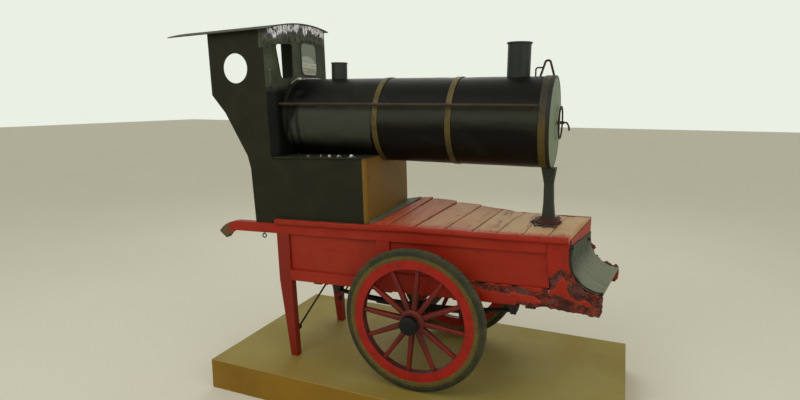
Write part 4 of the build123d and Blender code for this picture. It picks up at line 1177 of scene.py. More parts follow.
@dataclass
class Body:
    """Posts, rails, panels, legs and shafts of the cart."""

    half_width: float = 0.275
    nose_cuts: tuple = (("right", 0.262), ("left", 0.640))
    cheek_voxel: float = 0.0035
    rot_depth: float = 0.012
    front_face: float = 0.684
    nose_skew: float = 0.060
    nose_drop: float = 0.026
    scoop_radius: float = 0.140
    scoop_centre: float = 0.330
    scoop_top: float = 0.393
    lining_edge: float = 0.2375
    decays: tuple = (
        Decay(((0.274, 0.196), (0.320, 0.176), (0.464, 0.175), (0.507, 0.170), (0.568, 0.156)), 0.026, 0.9),
        Decay(((0.568, 0.156), (0.592, 0.140), (0.590, 0.239)), 0.030, 0.95),
        Decay(((0.590, 0.239), (0.611, 0.207), (0.625, 0.240), (0.659, 0.272), (0.683, 0.256)), 0.028, 0.9),
        Decay(((0.600, 0.125), (0.640, 0.140), (0.690, 0.115), (0.772, 0.098)), 0.052),
        Decay(((0.480, 0.112), (0.560, 0.106), (0.628, 0.104), (0.700, 0.092), (0.800, 0.092)), 0.026),
        Decay(((0.700, 0.215), (0.725, 0.180), (0.757, 0.186), (0.800, 0.150), (0.832, 0.170)), 0.042),
        Decay(((0.800, 0.092), (0.826, 0.119), (0.836, 0.180)), 0.024),
    )
    far_decays: tuple = (
        Decay(((0.744, 0.330), (0.752, 0.240), (0.785, 0.180), (0.830, 0.160), (0.884, 0.160)), 0.050, 0.9),
        Decay(((0.700, 0.085), (0.884, 0.085)), 0.050),
    )
    island: tuple = ((0.655, 0.195), 0.030)
    # Bolts on the lining, at shares across and down, and on the sides, at places along and over
    front_bolts: tuple = ((0.819, 0.10), (0.080, 0.03))
    post_bolts: tuple = ((-0.754, -0.180, 0.637), (0.128, 0.379))
    sill_bolts: tuple = ((-0.58, -0.42, 0.0, 0.2, 0.4), (0.130,))

    def build(self) -> None:
        """Dresses the boards and builds the nose cheeks, the lining and the bolts."""
        dress(RED_PANEL, "side_panels")
        dress(RED_POST, "leg_left", "leg_right", "tail_board")
        dress(RED_WOOD, "front_board")
        dress(RED_SHAFT, "shaft_left", "shaft_right")
        dress(INNER_WOOD, "floor_boards")
        dress(CROSS_WOOD, "bearers")
        dress(BLACK_IRON, "leg_braces", "shaft_eyes")
        for hand, cut in self.nose_cuts:
            self.side(hand, cut)
        self.lining()
        self.fastenings()

    def side(self, hand: str, start: float) -> None:
        """Builds one side: the sound frame, and its weathered nose cheek.

        Args:
            hand: "right" or "left".
            start: where along the cart its nose cheek starts.
        """
        boards, frame_name = f"side_boards_{hand}", f"side_frame_{hand}"
        halves = []
        for name, front in ((boards, False), ("cheek_blank", True)):
            half = welded(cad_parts[frame_name].data)
            cut_at(half, start, clear_outer=not front, clear_inner=front)
            bmesh.ops.holes_fill(half, edges=[e for e in half.edges if e.is_boundary])
            bmesh.ops.recalc_face_normals(half, faces=half.faces)
            halves.append(closed(half, name))
        settle(halves[0], boards, RED_WOOD, "red_wood", instead=(frame_name,))
        even = {"mode": "VOXEL", "voxel_size": self.cheek_voxel}
        cheek = modified(halves[1], f"nose_cheek_{hand}", "REMESH", even)
        share = self.decay_of(self.decays if hand == "right" else self.far_decays)
        self.rot(cheek, share, start)
        if hand == "left":
            self.ragged_lip(cheek)
        settle(cheek, f"nose_cheek_{hand}", CHEEK_WOOD, "red_wood", sharp=180, marks={"rot": share})

    def decay_of(self, decays: tuple) -> Callable[[Vector], float]:
        """Makes the share of rot of a side from its streaks."""

        def share(spot: Vector) -> float:
            """How rotten a place is."""
            along, height = unlay(spot)
            along += 0.010 * rough(spot, 30)
            height += 0.010 * rough(spot + Vector((5, 2, 1)), 30)
            (u, w), size = self.island
            sound = 1 - ease(math.hypot(along - u, height - w), size * 0.5, size)
            return max(decay.share(along, height) for decay in decays) * (1 - sound)

        return share

    def rot(self, mesh: bpy.types.Mesh, share: Callable[[Vector], float], start: float) -> None:
        """Eats into a cheek's rotten places.

        Args:
            mesh: the cheek, evenly meshed.
            share: how rotten a place is.
            start: where along the cart the cheek starts.
        """
        ways = [vertex.normal.copy() for vertex in mesh.vertices]
        for vertex, way in zip(mesh.vertices, ways):
            spot = vertex.co
            along, _ = unlay(spot)
            clear = ease(along, start + 0.004, start + 0.02)
            pits = max(0.0, rough(spot, 26, 4) + 0.4)
            lumps = abs(rough(spot + Vector((3, 1, 7)), 60, 3))
            vertex.co = spot - way * share(spot) * clear * self.rot_depth * (pits * 0.8 + lumps * 0.5)

    def ragged_lip(self, mesh: bpy.types.Mesh) -> None:
        """Lets the left cheek's hollow edge stand ragged over the lining."""
        centre_along = self.front_face + self.nose_skew + self.scoop_radius
        centre_height = self.scoop_centre - self.nose_drop
        for vertex in mesh.vertices:
            along, height = unlay(vertex.co)
            run, rise = along - centre_along, height - centre_height
            away = math.hypot(run, rise)
            if run > 0.002 or rise > 0.012 or away > self.scoop_radius + 0.012:
                continue
            share = 1 - ease(away, self.scoop_radius + 0.001, self.scoop_radius + 0.012)
            ragged = 0.012 * rough(Vector((along, 0.5, height)), 14, 2) + 0.005 * rough(vertex.co, 45, 3)
            proud = max(0.004, 0.017 + ragged) * share * ease(-run, 0.0, 0.03)
            proud *= 1 - ease(rise, -0.03, 0.012)
            vertex.co -= (CART_FORWARD * run + CART_UP * rise) / away * proud

    def lining_at(self, run: float, side: float, lift: float) -> Vector:
        """A point on the scoop's lining.

        Args:
            run: share from its top to its lip.
            side: share from the right cheek to the left one.
            lift: metres off the boards.

        Returns:
            The point in the frame.
        """
        top = self.scoop_top - 0.004 - 0.020 * side + 0.003 * rough(Vector((side, 7, 1)), 9, 4)
        upright = top - self.scoop_centre
        length = upright + self.scoop_radius * math.pi / 2
        walked = run * length
        across = -self.half_width + (self.lining_edge + self.half_width) * side
        skew = (across + self.half_width) / (2 * self.half_width)
        inner = min(1.0, 9 * min(side, 1 - side), 9 * min(run, 1 - run))
        spot = Vector((walked, across, 0))
        dent = 0.007 * abs(rough(spot, 9, 3)) * inner + 0.0012 * abs(rough(spot, 40, 2))
        if walked < upright:
            along, height = self.front_face + dent + lift, top - walked
        else:
            turn = (walked - upright) / self.scoop_radius
            reach = self.scoop_radius - dent - lift
            along = self.front_face + self.scoop_radius - reach * math.cos(turn)
            height = self.scoop_centre - reach * math.sin(turn)
        return lay(along + self.nose_skew * skew, across, height - self.nose_drop * skew)

    def lining(self) -> None:
        """Builds the scoop's dented lining, dark rods that stand in for shade in the gaps along its near and
        top edges, and the bolts over it.
        """
        shape = Shape()
        shape.slab(self.lining_at, 0.0022, 0.0004, 48, 80)
        shape.piece("scoop_lining", SCOOP_SHEET, "grey_sheet", instead=("scoop_sheet",))
        # Painted shade: black rods stand in for the shaded gaps along the lining's edges
        gap_shade_rods = Shape()
        count = 40
        near = [self.lining_at(step / count, 0.010, 0.004) for step in range(count + 1)]
        gap_shade_rods.rod(near, 0.0056, 8, 0.5)
        top = [self.lining_at(0.015, 0.01 + 0.98 * step / count, 0.003) for step in range(count + 1)]
        gap_shade_rods.rod(top, 0.0022, 6, 0.6)
        gap_shade_rods.piece("scoop_edging", BLACK_IRON, "black_iron")
        seats = [(self.lining_at(run, side, 0.003), CART_FORWARD) for side, run in self.front_bolts]
        Studs("front_bolts", StudKind.RIVET, 0.012, 0.009, spread=0.3).set_out(seats)

    def fastenings(self) -> None:
        """Sets the coach bolts of the side boards."""
        seats = [
            (lay(along, sign * self.half_width, height), Vector((0, sign, 0)))
            for sign in (-1, 1)
            for places, heights in (self.post_bolts, self.sill_bolts)
            for along in places
            for height in heights
        ]
        Studs("side_bolts", StudKind.RIVET, 0.0065, 0.0028, RED_WOOD, "red_wood", spread=0.25).set_out(seats)


@dataclass(frozen=True)
class Plank:
    """One deck plank: its front edge, and how far its corners have warped up or down."""

    front_right: float
    front_left: float
    far_rear: float
    far_front: float
    near: float
    tone: float
    gap: float = 0.0015
    ragged: float = 0.0022


@dataclass
class Deck:
    """Warped planks, the firebox's floor, the caps and the torn plate round the column."""

    half_width: float = 0.275
    rail_top: float = 0.405
    deck_top: float = 0.431
    rear: float = -0.256
    seated: float = 0.04
    planks: tuple = (
        Plank(-0.152, -0.106, 0.036, 0.054, 0.004, 0.0),
        Plank(-0.020, 0.034, 0.046, 0.035, 0.004, 0.3),
        Plank(0.133, 0.173, 0.028, 0.020, 0.003, 0.75, 0.006, 0.006),
        Plank(0.260, 0.285, 0.015, -0.003, 0.001, 0.55, 0.001, 0.001),
        Plank(0.372, 0.405, -0.003, -0.017, -0.001, 0.85, 0.004),
        Plank(0.487, 0.507, -0.016, -0.016, -0.002, 0.7, 0.002),
        Plank(0.594, 0.630, -0.019, -0.023, -0.002, 0.8),
        Plank(0.679, 0.739, -0.023, -0.023, -0.002, 1.0),
    )
    stations: int = 60
    # A plank's section, in shares of its width and of its thickness
    section: tuple = (
        *((0.0, 0.0), (0.0, 0.55), (0.012, 0.9), (0.03, 0.985)),
        *((run, 1.0) for run in (0.12, 0.25, 0.38, 0.5, 0.62, 0.75, 0.88)),
        *((0.97, 0.985), (0.988, 0.9), (1.0, 0.55), (1.0, 0.0)),
    )
    # How far the caps sit off their height, at places along
    left_cap: tuple = ((-0.79, 0.0), (0.26, 0.0), (0.405, -0.015), (0.63, -0.021), (0.80, -0.022))
    right_cap: tuple = (
        *((-0.79, 0.0), (-0.30, 0.0), (-0.079, 0.004)),
        *((0.104, 0.003), (0.394, -0.002), (0.80, -0.002)),
    )
    cap_cuts: tuple = (-0.76, 0.66, 0.012)
    cap_nails: tuple = (-0.77, 0.095, 16)
    cap_face: float = 0.2895
    nail_across: float = 0.252
    column: tuple = (0.560, -0.005)

    def build(self) -> None:
        """Builds the planks and what lies on them."""
        dress(CROSS_WOOD, "hearth_planks")
        shape = Shape()
        rears = (self.rear, self.rear)
        for number, plank in enumerate(self.planks):
            self.add_plank(shape, number, plank, rears)
            rears = (plank.front_right, plank.front_left)
        tones = {"plank": self.tone}
        shape.piece("warped_planks", DECK_WOOD, "deck_wood", instead=("deck_planks",), sharp=50, marks=tones)
        self.caps()
        self.strip()
        self.nails()
        self.plate()
        self.heap()

    def tone(self, spot: Vector) -> float:
        """How pale the plank under a place is."""
        along, _ = unlay(spot)
        side = (spot.y + self.half_width) / (2 * self.half_width)
        for plank in self.planks:
            if along < plank.front_right + (plank.front_left - plank.front_right) * side + 0.001:
                return plank.tone
        return self.planks[-1].tone

    def warp(self, plank: Plank, run: float, across: float) -> float:
        """How far a plank's top lifts at a place.

        Args:
            plank: the plank.
            run: share from its rear edge to its front edge.
            across: metres to the left.

        Returns:
            Metres over the flat deck.
        """
        far = plank.far_rear + (plank.far_front - plank.far_rear) * run
        side = (across + self.half_width) / (2 * self.half_width)
        dropped = max(0.0, (across - self.seated) / (self.half_width - self.seated))
        ripple = 0.0014 * rough(Vector((run * 0.3, across * 2, plank.tone * 31)), 5)
        return plank.near * (1 - side) + far * (side if far > 0 else dropped) + ripple

    def add_plank(self, shape: Shape, number: int, plank: Plank, rears: tuple) -> None:
        """Adds one plank.

        Args:
            shape: the mesh it is added to.
            number: its place in the row.
            plank: its edges and warp.
            rears: its rear edge at the right and left sides.
        """
        start = len(shape.points)
        sides = len(self.section)
        for station in range(self.stations + 1):
            side = station / self.stations
            across = -self.half_width + 2 * self.half_width * side
            rear = rears[0] + (rears[1] - rears[0]) * side + plank.gap
            front = plank.front_right + (plank.front_left - plank.front_right) * side
            for run, rise in self.section:
                along = rear + (front - rear) * run
                jag = plank.ragged * rough(Vector((number * 2.7 + run, across * 9, 4.0)), 2.5, 5)
                if rise < 1:
                    along += abs(jag) if run < 0.5 else -abs(jag)
                lift = self.warp(plank, run, across)
                foot = self.rail_top + max(0.0, lift)
                cup = 0.0016 * (2 * run - 1) ** 2 if rise >= 0.985 else 0.0
                height = foot + (self.deck_top + lift - foot) * rise - cup
                shape.points.append(lay(along, across, height))
        for station in range(self.stations):
            for side in range(sides):
                near = start + station * sides + side
                other = start + station * sides + (side + 1) % sides
                shape.faces.append((near, near + sides, other + sides, other))
        shape.lid(start, sides)
        shape.lid(start + self.stations * sides, sides, inward=True)

    def cap_drop(self, along: float, left: bool) -> float:
        """How far a cap moulding sits off its true height at a place along."""
        marks = self.left_cap if left else self.right_cap
        for (u0, d0), (u1, d1) in zip(marks, marks[1:]):
            if along <= u1:
                return d0 + (d1 - d0) * max(0.0, along - u0) / (u1 - u0)
        return marks[-1][1]

    def caps(self) -> None:
        """Bends the mouldings along the ends of the planks, and nails them."""
        bent = welded(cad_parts["cap_mouldings"].data)
        along, end, step = self.cap_cuts
        while along < end:
            cut_at(bent, along)
            along += step
        for vertex in bent.verts:
            place, height = unlay(vertex.co)
            left = vertex.co.y > 0
            sway = 0.0012 * rough(Vector((place, vertex.co.y, 0)), 7)
            chip = 0.008 * max(0.0, rough(Vector((place * 2, 3, vertex.co.y)), 9) - 0.1)
            lowered = chip if height > self.deck_top - 0.004 else 0.0
            vertex.co += CART_UP * (self.cap_drop(place, left) + sway - lowered)
        settle(closed(bent, "bent_caps"), "bent_caps", RED_WOOD, "red_wood", instead=("cap_mouldings",))
        nails = []
        first, step, count = self.cap_nails
        for sign in (-1, 1):
            for number in range(count):
                place = first + step * number
                height = self.deck_top - 0.010 + self.cap_drop(place, sign > 0)
                nails.append((lay(place, sign * self.cap_face, height), Vector((0, sign, 0))))
        Studs("cap_nails", StudKind.NAIL, 0.003, 0.0016, spread=0.3).set_out(nails)

    def strip(self) -> None:
        """Lays the warped strip at the firebox's foot over the first plank."""
        shape = Shape()
        first = self.planks[0]
        width = first.front_right - self.rear

        def at(run: float, side: float, lift: float) -> Vector:
            """A point on the strip's upper or lower face."""
            across = -0.262 + 0.524 * side
            reach = 0.026 + 0.060 * side + 0.006 * rough(Vector((side * 3, 1, 2)), 2, 4)
            share = reach * run / width
            wave = 0.002 * abs(rough(Vector((run * 0.1, across, 5)), 18))
            height = self.deck_top + self.warp(first, share, across) + 0.0008 + wave + lift
            return lay(self.rear + 0.0005 + reach * run, across, height)

        shape.slab(at, 0.0022, 0.0, 8, 60)
        shape.piece("foot_strip", GREY_SHEET, "grey_sheet", instead=("base_strip",))

    def nails(self) -> None:
        """Sets two nails at each end of each plank."""
        seats = []
        rears = (self.rear, self.rear)
        for plank in self.planks:
            for number, across in enumerate((-self.nail_across, self.nail_across)):
                rear, front = rears[number], (plank.front_right, plank.front_left)[number]
                for share in (0.25, 0.75):
                    height = self.deck_top + self.warp(plank, share, across)
                    seats.append((lay(rear + (front - rear) * share, across, height), CART_UP))
            rears = (plank.front_right, plank.front_left)
        Studs("deck_nails", StudKind.NAIL, 0.0035, 0.0012, spread=0.3).set_out(seats)

    def plate(self) -> None:
        """Lays the torn plate round the column's foot."""
        shape = Shape()
        rows, columns = 10, 90

        def at(share: float, turn: float, lift: float) -> Vector:
            """A point on the plate's upper or lower face."""
            angle = math.tau * turn
            edge = 0.085 + 0.045 * rough(Vector((math.cos(angle), math.sin(angle), 2.0)), 2.2, 5)
            radius = 0.03 + (edge - 0.03) * share
            along = self.column[0] + radius * math.cos(angle) * 0.82
            across = self.column[1] + radius * math.sin(angle) * 1.35
            curl = 0.012 * max(0.0, rough(Vector((along, across, 0.3)), 30)) * share
            return lay(along, across, self.deck_top + 0.0002 + curl * (1 if lift else 0.6) + lift)

        shape.grid(lambda s, t: at(s, t, 0.0022), rows, columns, ring=True)
        shape.grid(lambda s, t: at(s, t, 0.0), rows, columns, ring=True, inward=True)
        under = (rows + 1) * columns
        for base in (rows * columns, 0):
            for turn in range(columns):
                here, there = base + turn, base + (turn + 1) % columns
                shape.faces.append((here, there, there + under, here + under))
        shape.piece("column_plate", SCRAP_IRON, "black_iron", sharp=40)

    def heap(self) -> None:
        """Piles the flaked red crust over the column's foot plate."""
        shape = Shape()
        rows, columns = 14, 72

        def at(share: float, turn: float) -> Vector:
            """A point on the heap."""
            angle = math.tau * turn
            lumps = rough(Vector((math.cos(angle) * 2, math.sin(angle) * 2, share * 2)), 1.6, 5)
            radius = 0.024 + 0.036 * share + 0.016 * lumps * share
            rise = 0.018 * (1 - share) ** 1.3 + 0.007 + 0.008 * lumps * (1 - share)
            if share > 0.999:
                rise = 0.0005
            along, across = self.column
            place = (along + radius * math.cos(angle), across + radius * math.sin(angle))
            return lay(*place, self.deck_top + rise)

        shape.grid(at, rows, columns, ring=True, inward=True)
        shape.lid(0, columns)
        shape.lid(rows * columns, columns, inward=True)
        shape.piece("column_crust", FOOT_CRUST, "black_iron", sharp=180)


@dataclass
class Springs:
    """Springs, hangers, clamps and axle."""

    apart: float = 0.245
    bolt_along: float = 0.021
    bolt_across: float = 0.022
    nut_height: float = 0.0555

    def build(self) -> None:
        """Dresses the iron below and adds nuts on its bolts."""
        dress(BLACK_IRON, "spring_left", "spring_right", "hangers", "spring_clamps", "axle")
        seats = [
            (lay(along, sign * self.apart + across, self.nut_height), CART_UP)
            for sign in (-1, 1)
            for along in (-self.bolt_along, self.bolt_along)
            for across in (-self.bolt_across, self.bolt_across)
        ]
        Studs("clamp_nuts", StudKind.HEX, 0.0085, 0.007).set_out(seats)


@dataclass
class Wheel:
    """One spoked wheel with its solid tyre."""

    hand: str
    sign: int
    bolts: int = 12
    first_bolt: float = 15
    bolt_circle: float = 0.276
    bolt_face: float = 0.3702

    def build(self) -> None:
        """Dresses the wheel and adds the bolts of its felloe."""
        parts = {"tyre": TYRE, "felloe": FELLOE_PAINT, "spokes": SPOKE_PAINT, "nave": NAVE_PAINT}
        for part, finish in {**parts, "hub_cap": CAP_IRON}.items():
            dress(finish, f"{part}_{self.hand}")
        facing = Vector((0, self.sign, 0))
        seats = []
        for number in range(self.bolts):
            angle = math.radians(self.first_bolt + 360 / self.bolts * number)
            along, rise = math.cos(angle) * self.bolt_circle, math.sin(angle) * self.bolt_circle
            seats.append((Vector((along, self.sign * self.bolt_face, AXLE_RISE + rise)), facing))
        name, body = f"felloe_bolts_{self.hand}", f"wheel_{self.hand}"
        Studs(name, StudKind.RIVET, 0.006, 0.003, FELLOE_PAINT, "red_wheel", body).set_out(seats)


@dataclass
class Firebox:
    """The black box under the drum's rear end."""

    height: float = 0.755
    edge: float = -0.2755
    # Torn slivers on the shelf: their middles along, and lengths
    flashes: tuple = ((-0.575, 0.020), (-0.500, 0.012), (-0.455, 0.024), (-0.400, 0.026), (-0.330, 0.034))

    def build(self) -> None:
        """Dresses the box and lays torn slivers on its shelf, painted with white glints."""
        dress(FIREBOX_BROWN, "firebox_front")
        dress(FIREBOX_SHEET, "firebox_back", "firebox_shelf", "fire_door")
        shape = Shape()
        for middle, length in self.flashes:
            self.sliver(shape, middle, length)
        # The slivers carry painted glints through their mark
        shape.piece("shelf_slivers", TIN, "firebox_sheet", marks={"bright": lambda spot: 0.95})

    def sliver(self, shape: Shape, middle: float, length: float) -> None:
        """Adds one curled sliver to a mesh."""

        def at(run: float, side: float, lift: float) -> Vector:
            """A point on the sliver."""
            taper = math.sin(math.pi * min(0.98, max(0.02, run)))
            along = middle + length * (run - 0.5)
            curl = 0.016 * side * taper * (0.6 + abs(rough(Vector((along, side * 0.1, 1)), 50)))
            across = self.edge + 0.010 - 0.004 * side
            return lay(along, across + lift * 0.5, self.height + 0.0005 + curl + lift)

        shape.slab(at, 0.001, 0.0, 10, 4)


@dataclass
class Cab:
    """The cut-sheet cab, its roof and its battered front."""

    half_width: float = 0.268
    front: float = -0.756
    roof_front: float = -0.745
    roof_rear: float = -1.390
    roof_thickness: float = 0.004
    roof_marks: tuple = ((-0.297, 1.384), (-0.030, 1.437), (0.292, 1.428))
    corner: float = 0.045
    left_ahead: float = 0.084
    glazed: tuple = (0.082, 1.262, 0.158, 0.172)
    open_window: tuple = ((-0.229, 1.318), (-0.079, 1.334), (-0.082, 1.158), (-0.193, 1.147))
    handle_turn: float = 55
    handle_height: float = 1.150
    handle_half: float = 0.046
    handle_reach: float = 0.026
    handle_bend: float = 0.010
    tin_run: tuple = (-0.095, 0.4685)
    # Rows of rivets: their ends along and over, and how many
    corner_seam: tuple = (0.785, 1.35, 20)
    corner_places: tuple = ((-1, -0.812), (1, -0.779))
    seams: tuple = ((-1.128, 1.10, -1.128, 1.33, 8), (-0.905, 0.47, -0.913, 0.67, 7))
    hair: float = 0.0001

    def __post_init__(self) -> None:
        """Finds the circle of the roof's arc through its three marks."""
        (ax, ay), (bx, by), (cx, cy) = self.roof_marks
        d = 2 * (ax * (by - cy) + bx * (cy - ay) + cx * (ay - by))
        a, b, c = ax * ax + ay * ay, bx * bx + by * by, cx * cx + cy * cy
        self.arc_across = (a * (by - cy) + b * (cy - ay) + c * (ay - by)) / d
        self.arc_height = (a * (cx - bx) + b * (ax - cx) + c * (bx - ax)) / d
        self.arc_radius = math.hypot(ax - self.arc_across, ay - self.arc_height)

    def roof_under(self, across: float) -> float:
        """Height of the roof's underside at a place across."""
        return self.arc_height + math.sqrt(self.arc_radius**2 - (across - self.arc_across) ** 2)

    def build(self) -> None:
        """Dresses the cab and builds its handle, roof, tin strip, torn edges and rivets."""
        dress(CAB_SHEET, "cab_side_left", "cab_side_right", "drum_collar")
        dress(CAB_FRONT, "cab_front")
        dress(GLASS, "window_pane")
        self.handle()
        self.roof()
        self.tin_strip()
        self.collar_flash()
        self.window_frames()
        self.rivets()

    def handle(self) -> None:
        """Builds the handle on the rounded right corner."""
        shape = Shape()
        turn = math.radians(self.handle_turn)
        bend, reach = self.handle_bend, self.corner + self.handle_reach
        low, high = self.handle_height - self.handle_half, self.handle_height + self.handle_half
        marks = [(self.corner, low)]
        for centre, first in ((low + bend, -90), (high - bend, 0)):
            for step in range(7):
                swing = math.radians(first + 15 * step)
                marks.append((reach - bend + bend * math.cos(swing), centre + bend * math.sin(swing)))
        marks.append((self.corner, high))
        out, aside = math.cos(turn), math.sin(turn)
        along, across = self.front - self.corner, self.corner - self.half_width
        shape.rod([lay(along + away * out, across - away * aside, height) for away, height in marks], 0.005)
        shape.piece("corner_handle", WORN_STEEL, "black_iron", instead=("cab_handles",))

    def roof(self) -> None:
        """Builds the dented roof sheet."""
        shape = Shape()
        low, high = self.roof_marks[0][0] + self.hair, self.roof_marks[2][0] - self.hair
        rear, front = self.roof_rear + self.hair, self.roof_front - self.hair

        def at(run: float, side: float, thick: float) -> Vector:
            """A point on the roof's upper or lower skin."""
            along = rear + (front - rear) * run
            across = low + (high - low) * side
            spot = Vector((along, across, 0))
            dent = 0.0035 * max(0.0, rough(spot, 6)) + 0.0012 * max(0.0, rough(spot, 20))
            inset = min(1.0, 8 * min(side, 1 - side), 8 * min(run, 1 - run))
            return lay(along, across, self.roof_under(across) + thick - dent * inset)

        shape.slab(at, self.roof_thickness - self.hair, 0.0, 60, 56)
        shape.piece("roof_sheet", ROOF_SHEET, "roof_sheet", instead=("roof",))

    def outline(self, walked: float) -> tuple[float, float, float, float]:
        """A place on the cab's plan round its right front corner.

        Args:
            walked: metres from the corner's end on the front face, less than 0 round the corner.

        Returns:
            Along, across, and the outward direction along and across.
        """
        if walked >= 0:
            return self.front, self.corner - self.half_width + walked, 1.0, 0.0
        turn = -walked / self.corner
        if turn < math.pi / 2:
            out, aside = math.cos(turn), -math.sin(turn)
            along = self.front - self.corner + self.corner * out
            return along, self.corner - self.half_width + self.corner * aside, out, aside
        rest = -walked - self.corner * math.pi / 2
        return self.front - self.corner - rest, -self.half_width, 0.0, -1.0

    def tin_strip(self) -> None:
        """Builds the crumpled strip under the roof's front edge, bare tin shown with painted glints."""
        shape = Shape()
        low, high = self.tin_run

        def at(rise: float, side: float, lift: float) -> Vector:
            """A point on the strip's outer or inner face."""
            walked = low + (high - low) * side
            along, across, out, aside = self.outline(walked)
            top = self.roof_under(across) - 0.002
            depth = 0.088 + 0.02 * rough(Vector((walked, 0, 1)), 16, 4)
            height = top - depth * (1 - rise)
            fan = Vector((0, walked, height * 0.35))
            folds = abs(rough(fan, 26, 3)) * 0.008 + abs(rough(fan + Vector((4, 0, 0)), 70, 2)) * 0.004
            edge = min(1.0, 10 * rise + 0.1, 12 * min(side, 1 - side) + 0.1)
            proud = 0.0003 + folds * edge * (0.4 + 0.6 * out) + lift
            return lay(along + out * proud, across + aside * proud, height)

        shape.slab(at, 0.0008, 0.0, 34, 240)
        shape.piece("crumpled_strip", TIN, "roof_sheet", sharp=24, marks={"bright": self.brightness})

    def brightness(self, spot: Vector) -> float:
        """How much of the strip under the roof is bare tin shown with painted glints, at a place."""
        along, height = unlay(spot)
        below = self.roof_under(spot.y) - height
        fan = rough(Vector((0, spot.y + along * 0.7, height * 0.25)), 20, 4)
        corner = ease(along, self.front - self.corner - 0.005, self.front - 0.012)
        return (1 - ease(below + 0.030 * fan, 0.030, 0.078)) * (0.35 + 0.65 * corner)

    def collar_flash(self) -> None:
        """Builds the torn flange where the drum enters the cab's front, painted with white glints as a
        highlight.
        """
        shape = Shape()
        reach = 0.2085

        def arc(run: float, side: float, lift: float) -> Vector:
            """A point on the flange round the drum."""
            turn = math.radians(38 + 50 * run)
            ragged = 0.6 + 0.5 * abs(rough(Vector((run, 3, 1)), 9))
            return round_drum(-0.7955 + lift + 0.004 * side, turn, reach + (0.012 * ragged) * side + lift)

        def crest(run: float, side: float, lift: float) -> Vector:
            """A point on the torn lap along the drum's crest."""
            torn = (1 - run) ** 0.5 + 0.6 * rough(Vector((run, 2, 8)), 7)
            turn = math.radians(84 - max(0.6, 6 * torn) * side)
            ragged = 0.0015 + 0.003 * abs(rough(Vector((run, side, 8)), 11))
            out = reach + ragged * math.sin(math.pi * min(0.97, max(0.03, run))) + lift
            return round_drum(-0.792 + 0.125 * run, turn, out)

        shape.slab(arc, 0.0012, 0.0, 30, 3)
        shape.slab(crest, 0.001, 0.0, 40, 6)
        # Painted highlight: the flange's mark is set high so it shows as white glints
        bright = {"bright": lambda spot: 1.1 + 0.5 * rough(spot, 20)}
        shape.piece("collar_flash", TIN, "drum_sheet", marks=bright)

    def rounded(self, corners: Sequence[tuple], radius: float) -> list[Vector]:
        """The path round an opening in the front whose corners are rounded.

        Args:
            corners: places across and over, in order.
            radius: how far each corner is rounded.

        Returns:
            The closed path in the frame.
        """
        path = []
        count = len(corners)
        for number, corner in enumerate(corners):
            here = Vector(corner)
            before = Vector(corners[number - 1]) - here
            after = Vector(corners[(number + 1) % count]) - here
            start, end = here + before.normalized() * radius, here + after.normalized() * radius
            for step in range(7):
                share = step / 6
                bend = start.lerp(here, share).lerp(here.lerp(end, share), share)
                path.append(lay(self.front + 0.001, bend.x, bend.y))
        path.append(path[0])
        return path

    def window_frames(self) -> None:
        """Builds the turned-over edges of the two window openings."""
        shape = Shape()
        across, height, width, tall = self.glazed
        left, right = across + width / 2, across - width / 2
        low, high = height - tall / 2, height + tall / 2
        corners = ((right, high), (left, high), (left, low), (right, low))
        shape.rod(self.rounded(corners, 0.036), 0.0032, 8, 0.1)
        shape.rod(self.rounded(self.open_window, 0.024), 0.0018, 8, 0.1)
        shape.piece("window_edges", FLUE_SHEET, "black_sheet")

    def rivets(self) -> None:
        """Sets the rivets of the cab's seams."""
        seats = []
        low, high, count = self.corner_seam
        for sign, corner in self.corner_places:
            side = sign * (self.half_width + 0.0002)
            ahead = 0.0 if sign < 0 else self.left_ahead
            rows = [(corner, low, corner, high, count)]
            rows += [(u0 + ahead, w0, u1 + ahead, w1, number) for u0, w0, u1, w1, number in self.seams]
            for u0, w0, u1, w1, number in rows:
                seats += line_of(lay(u0, side, w0), lay(u1, side, w1), number, Vector((0, sign, 0)))
        Studs("cab_rivets", StudKind.RIVET, 0.0034, 0.0014, CAB_SHEET, "black_sheet").set_out(seats)


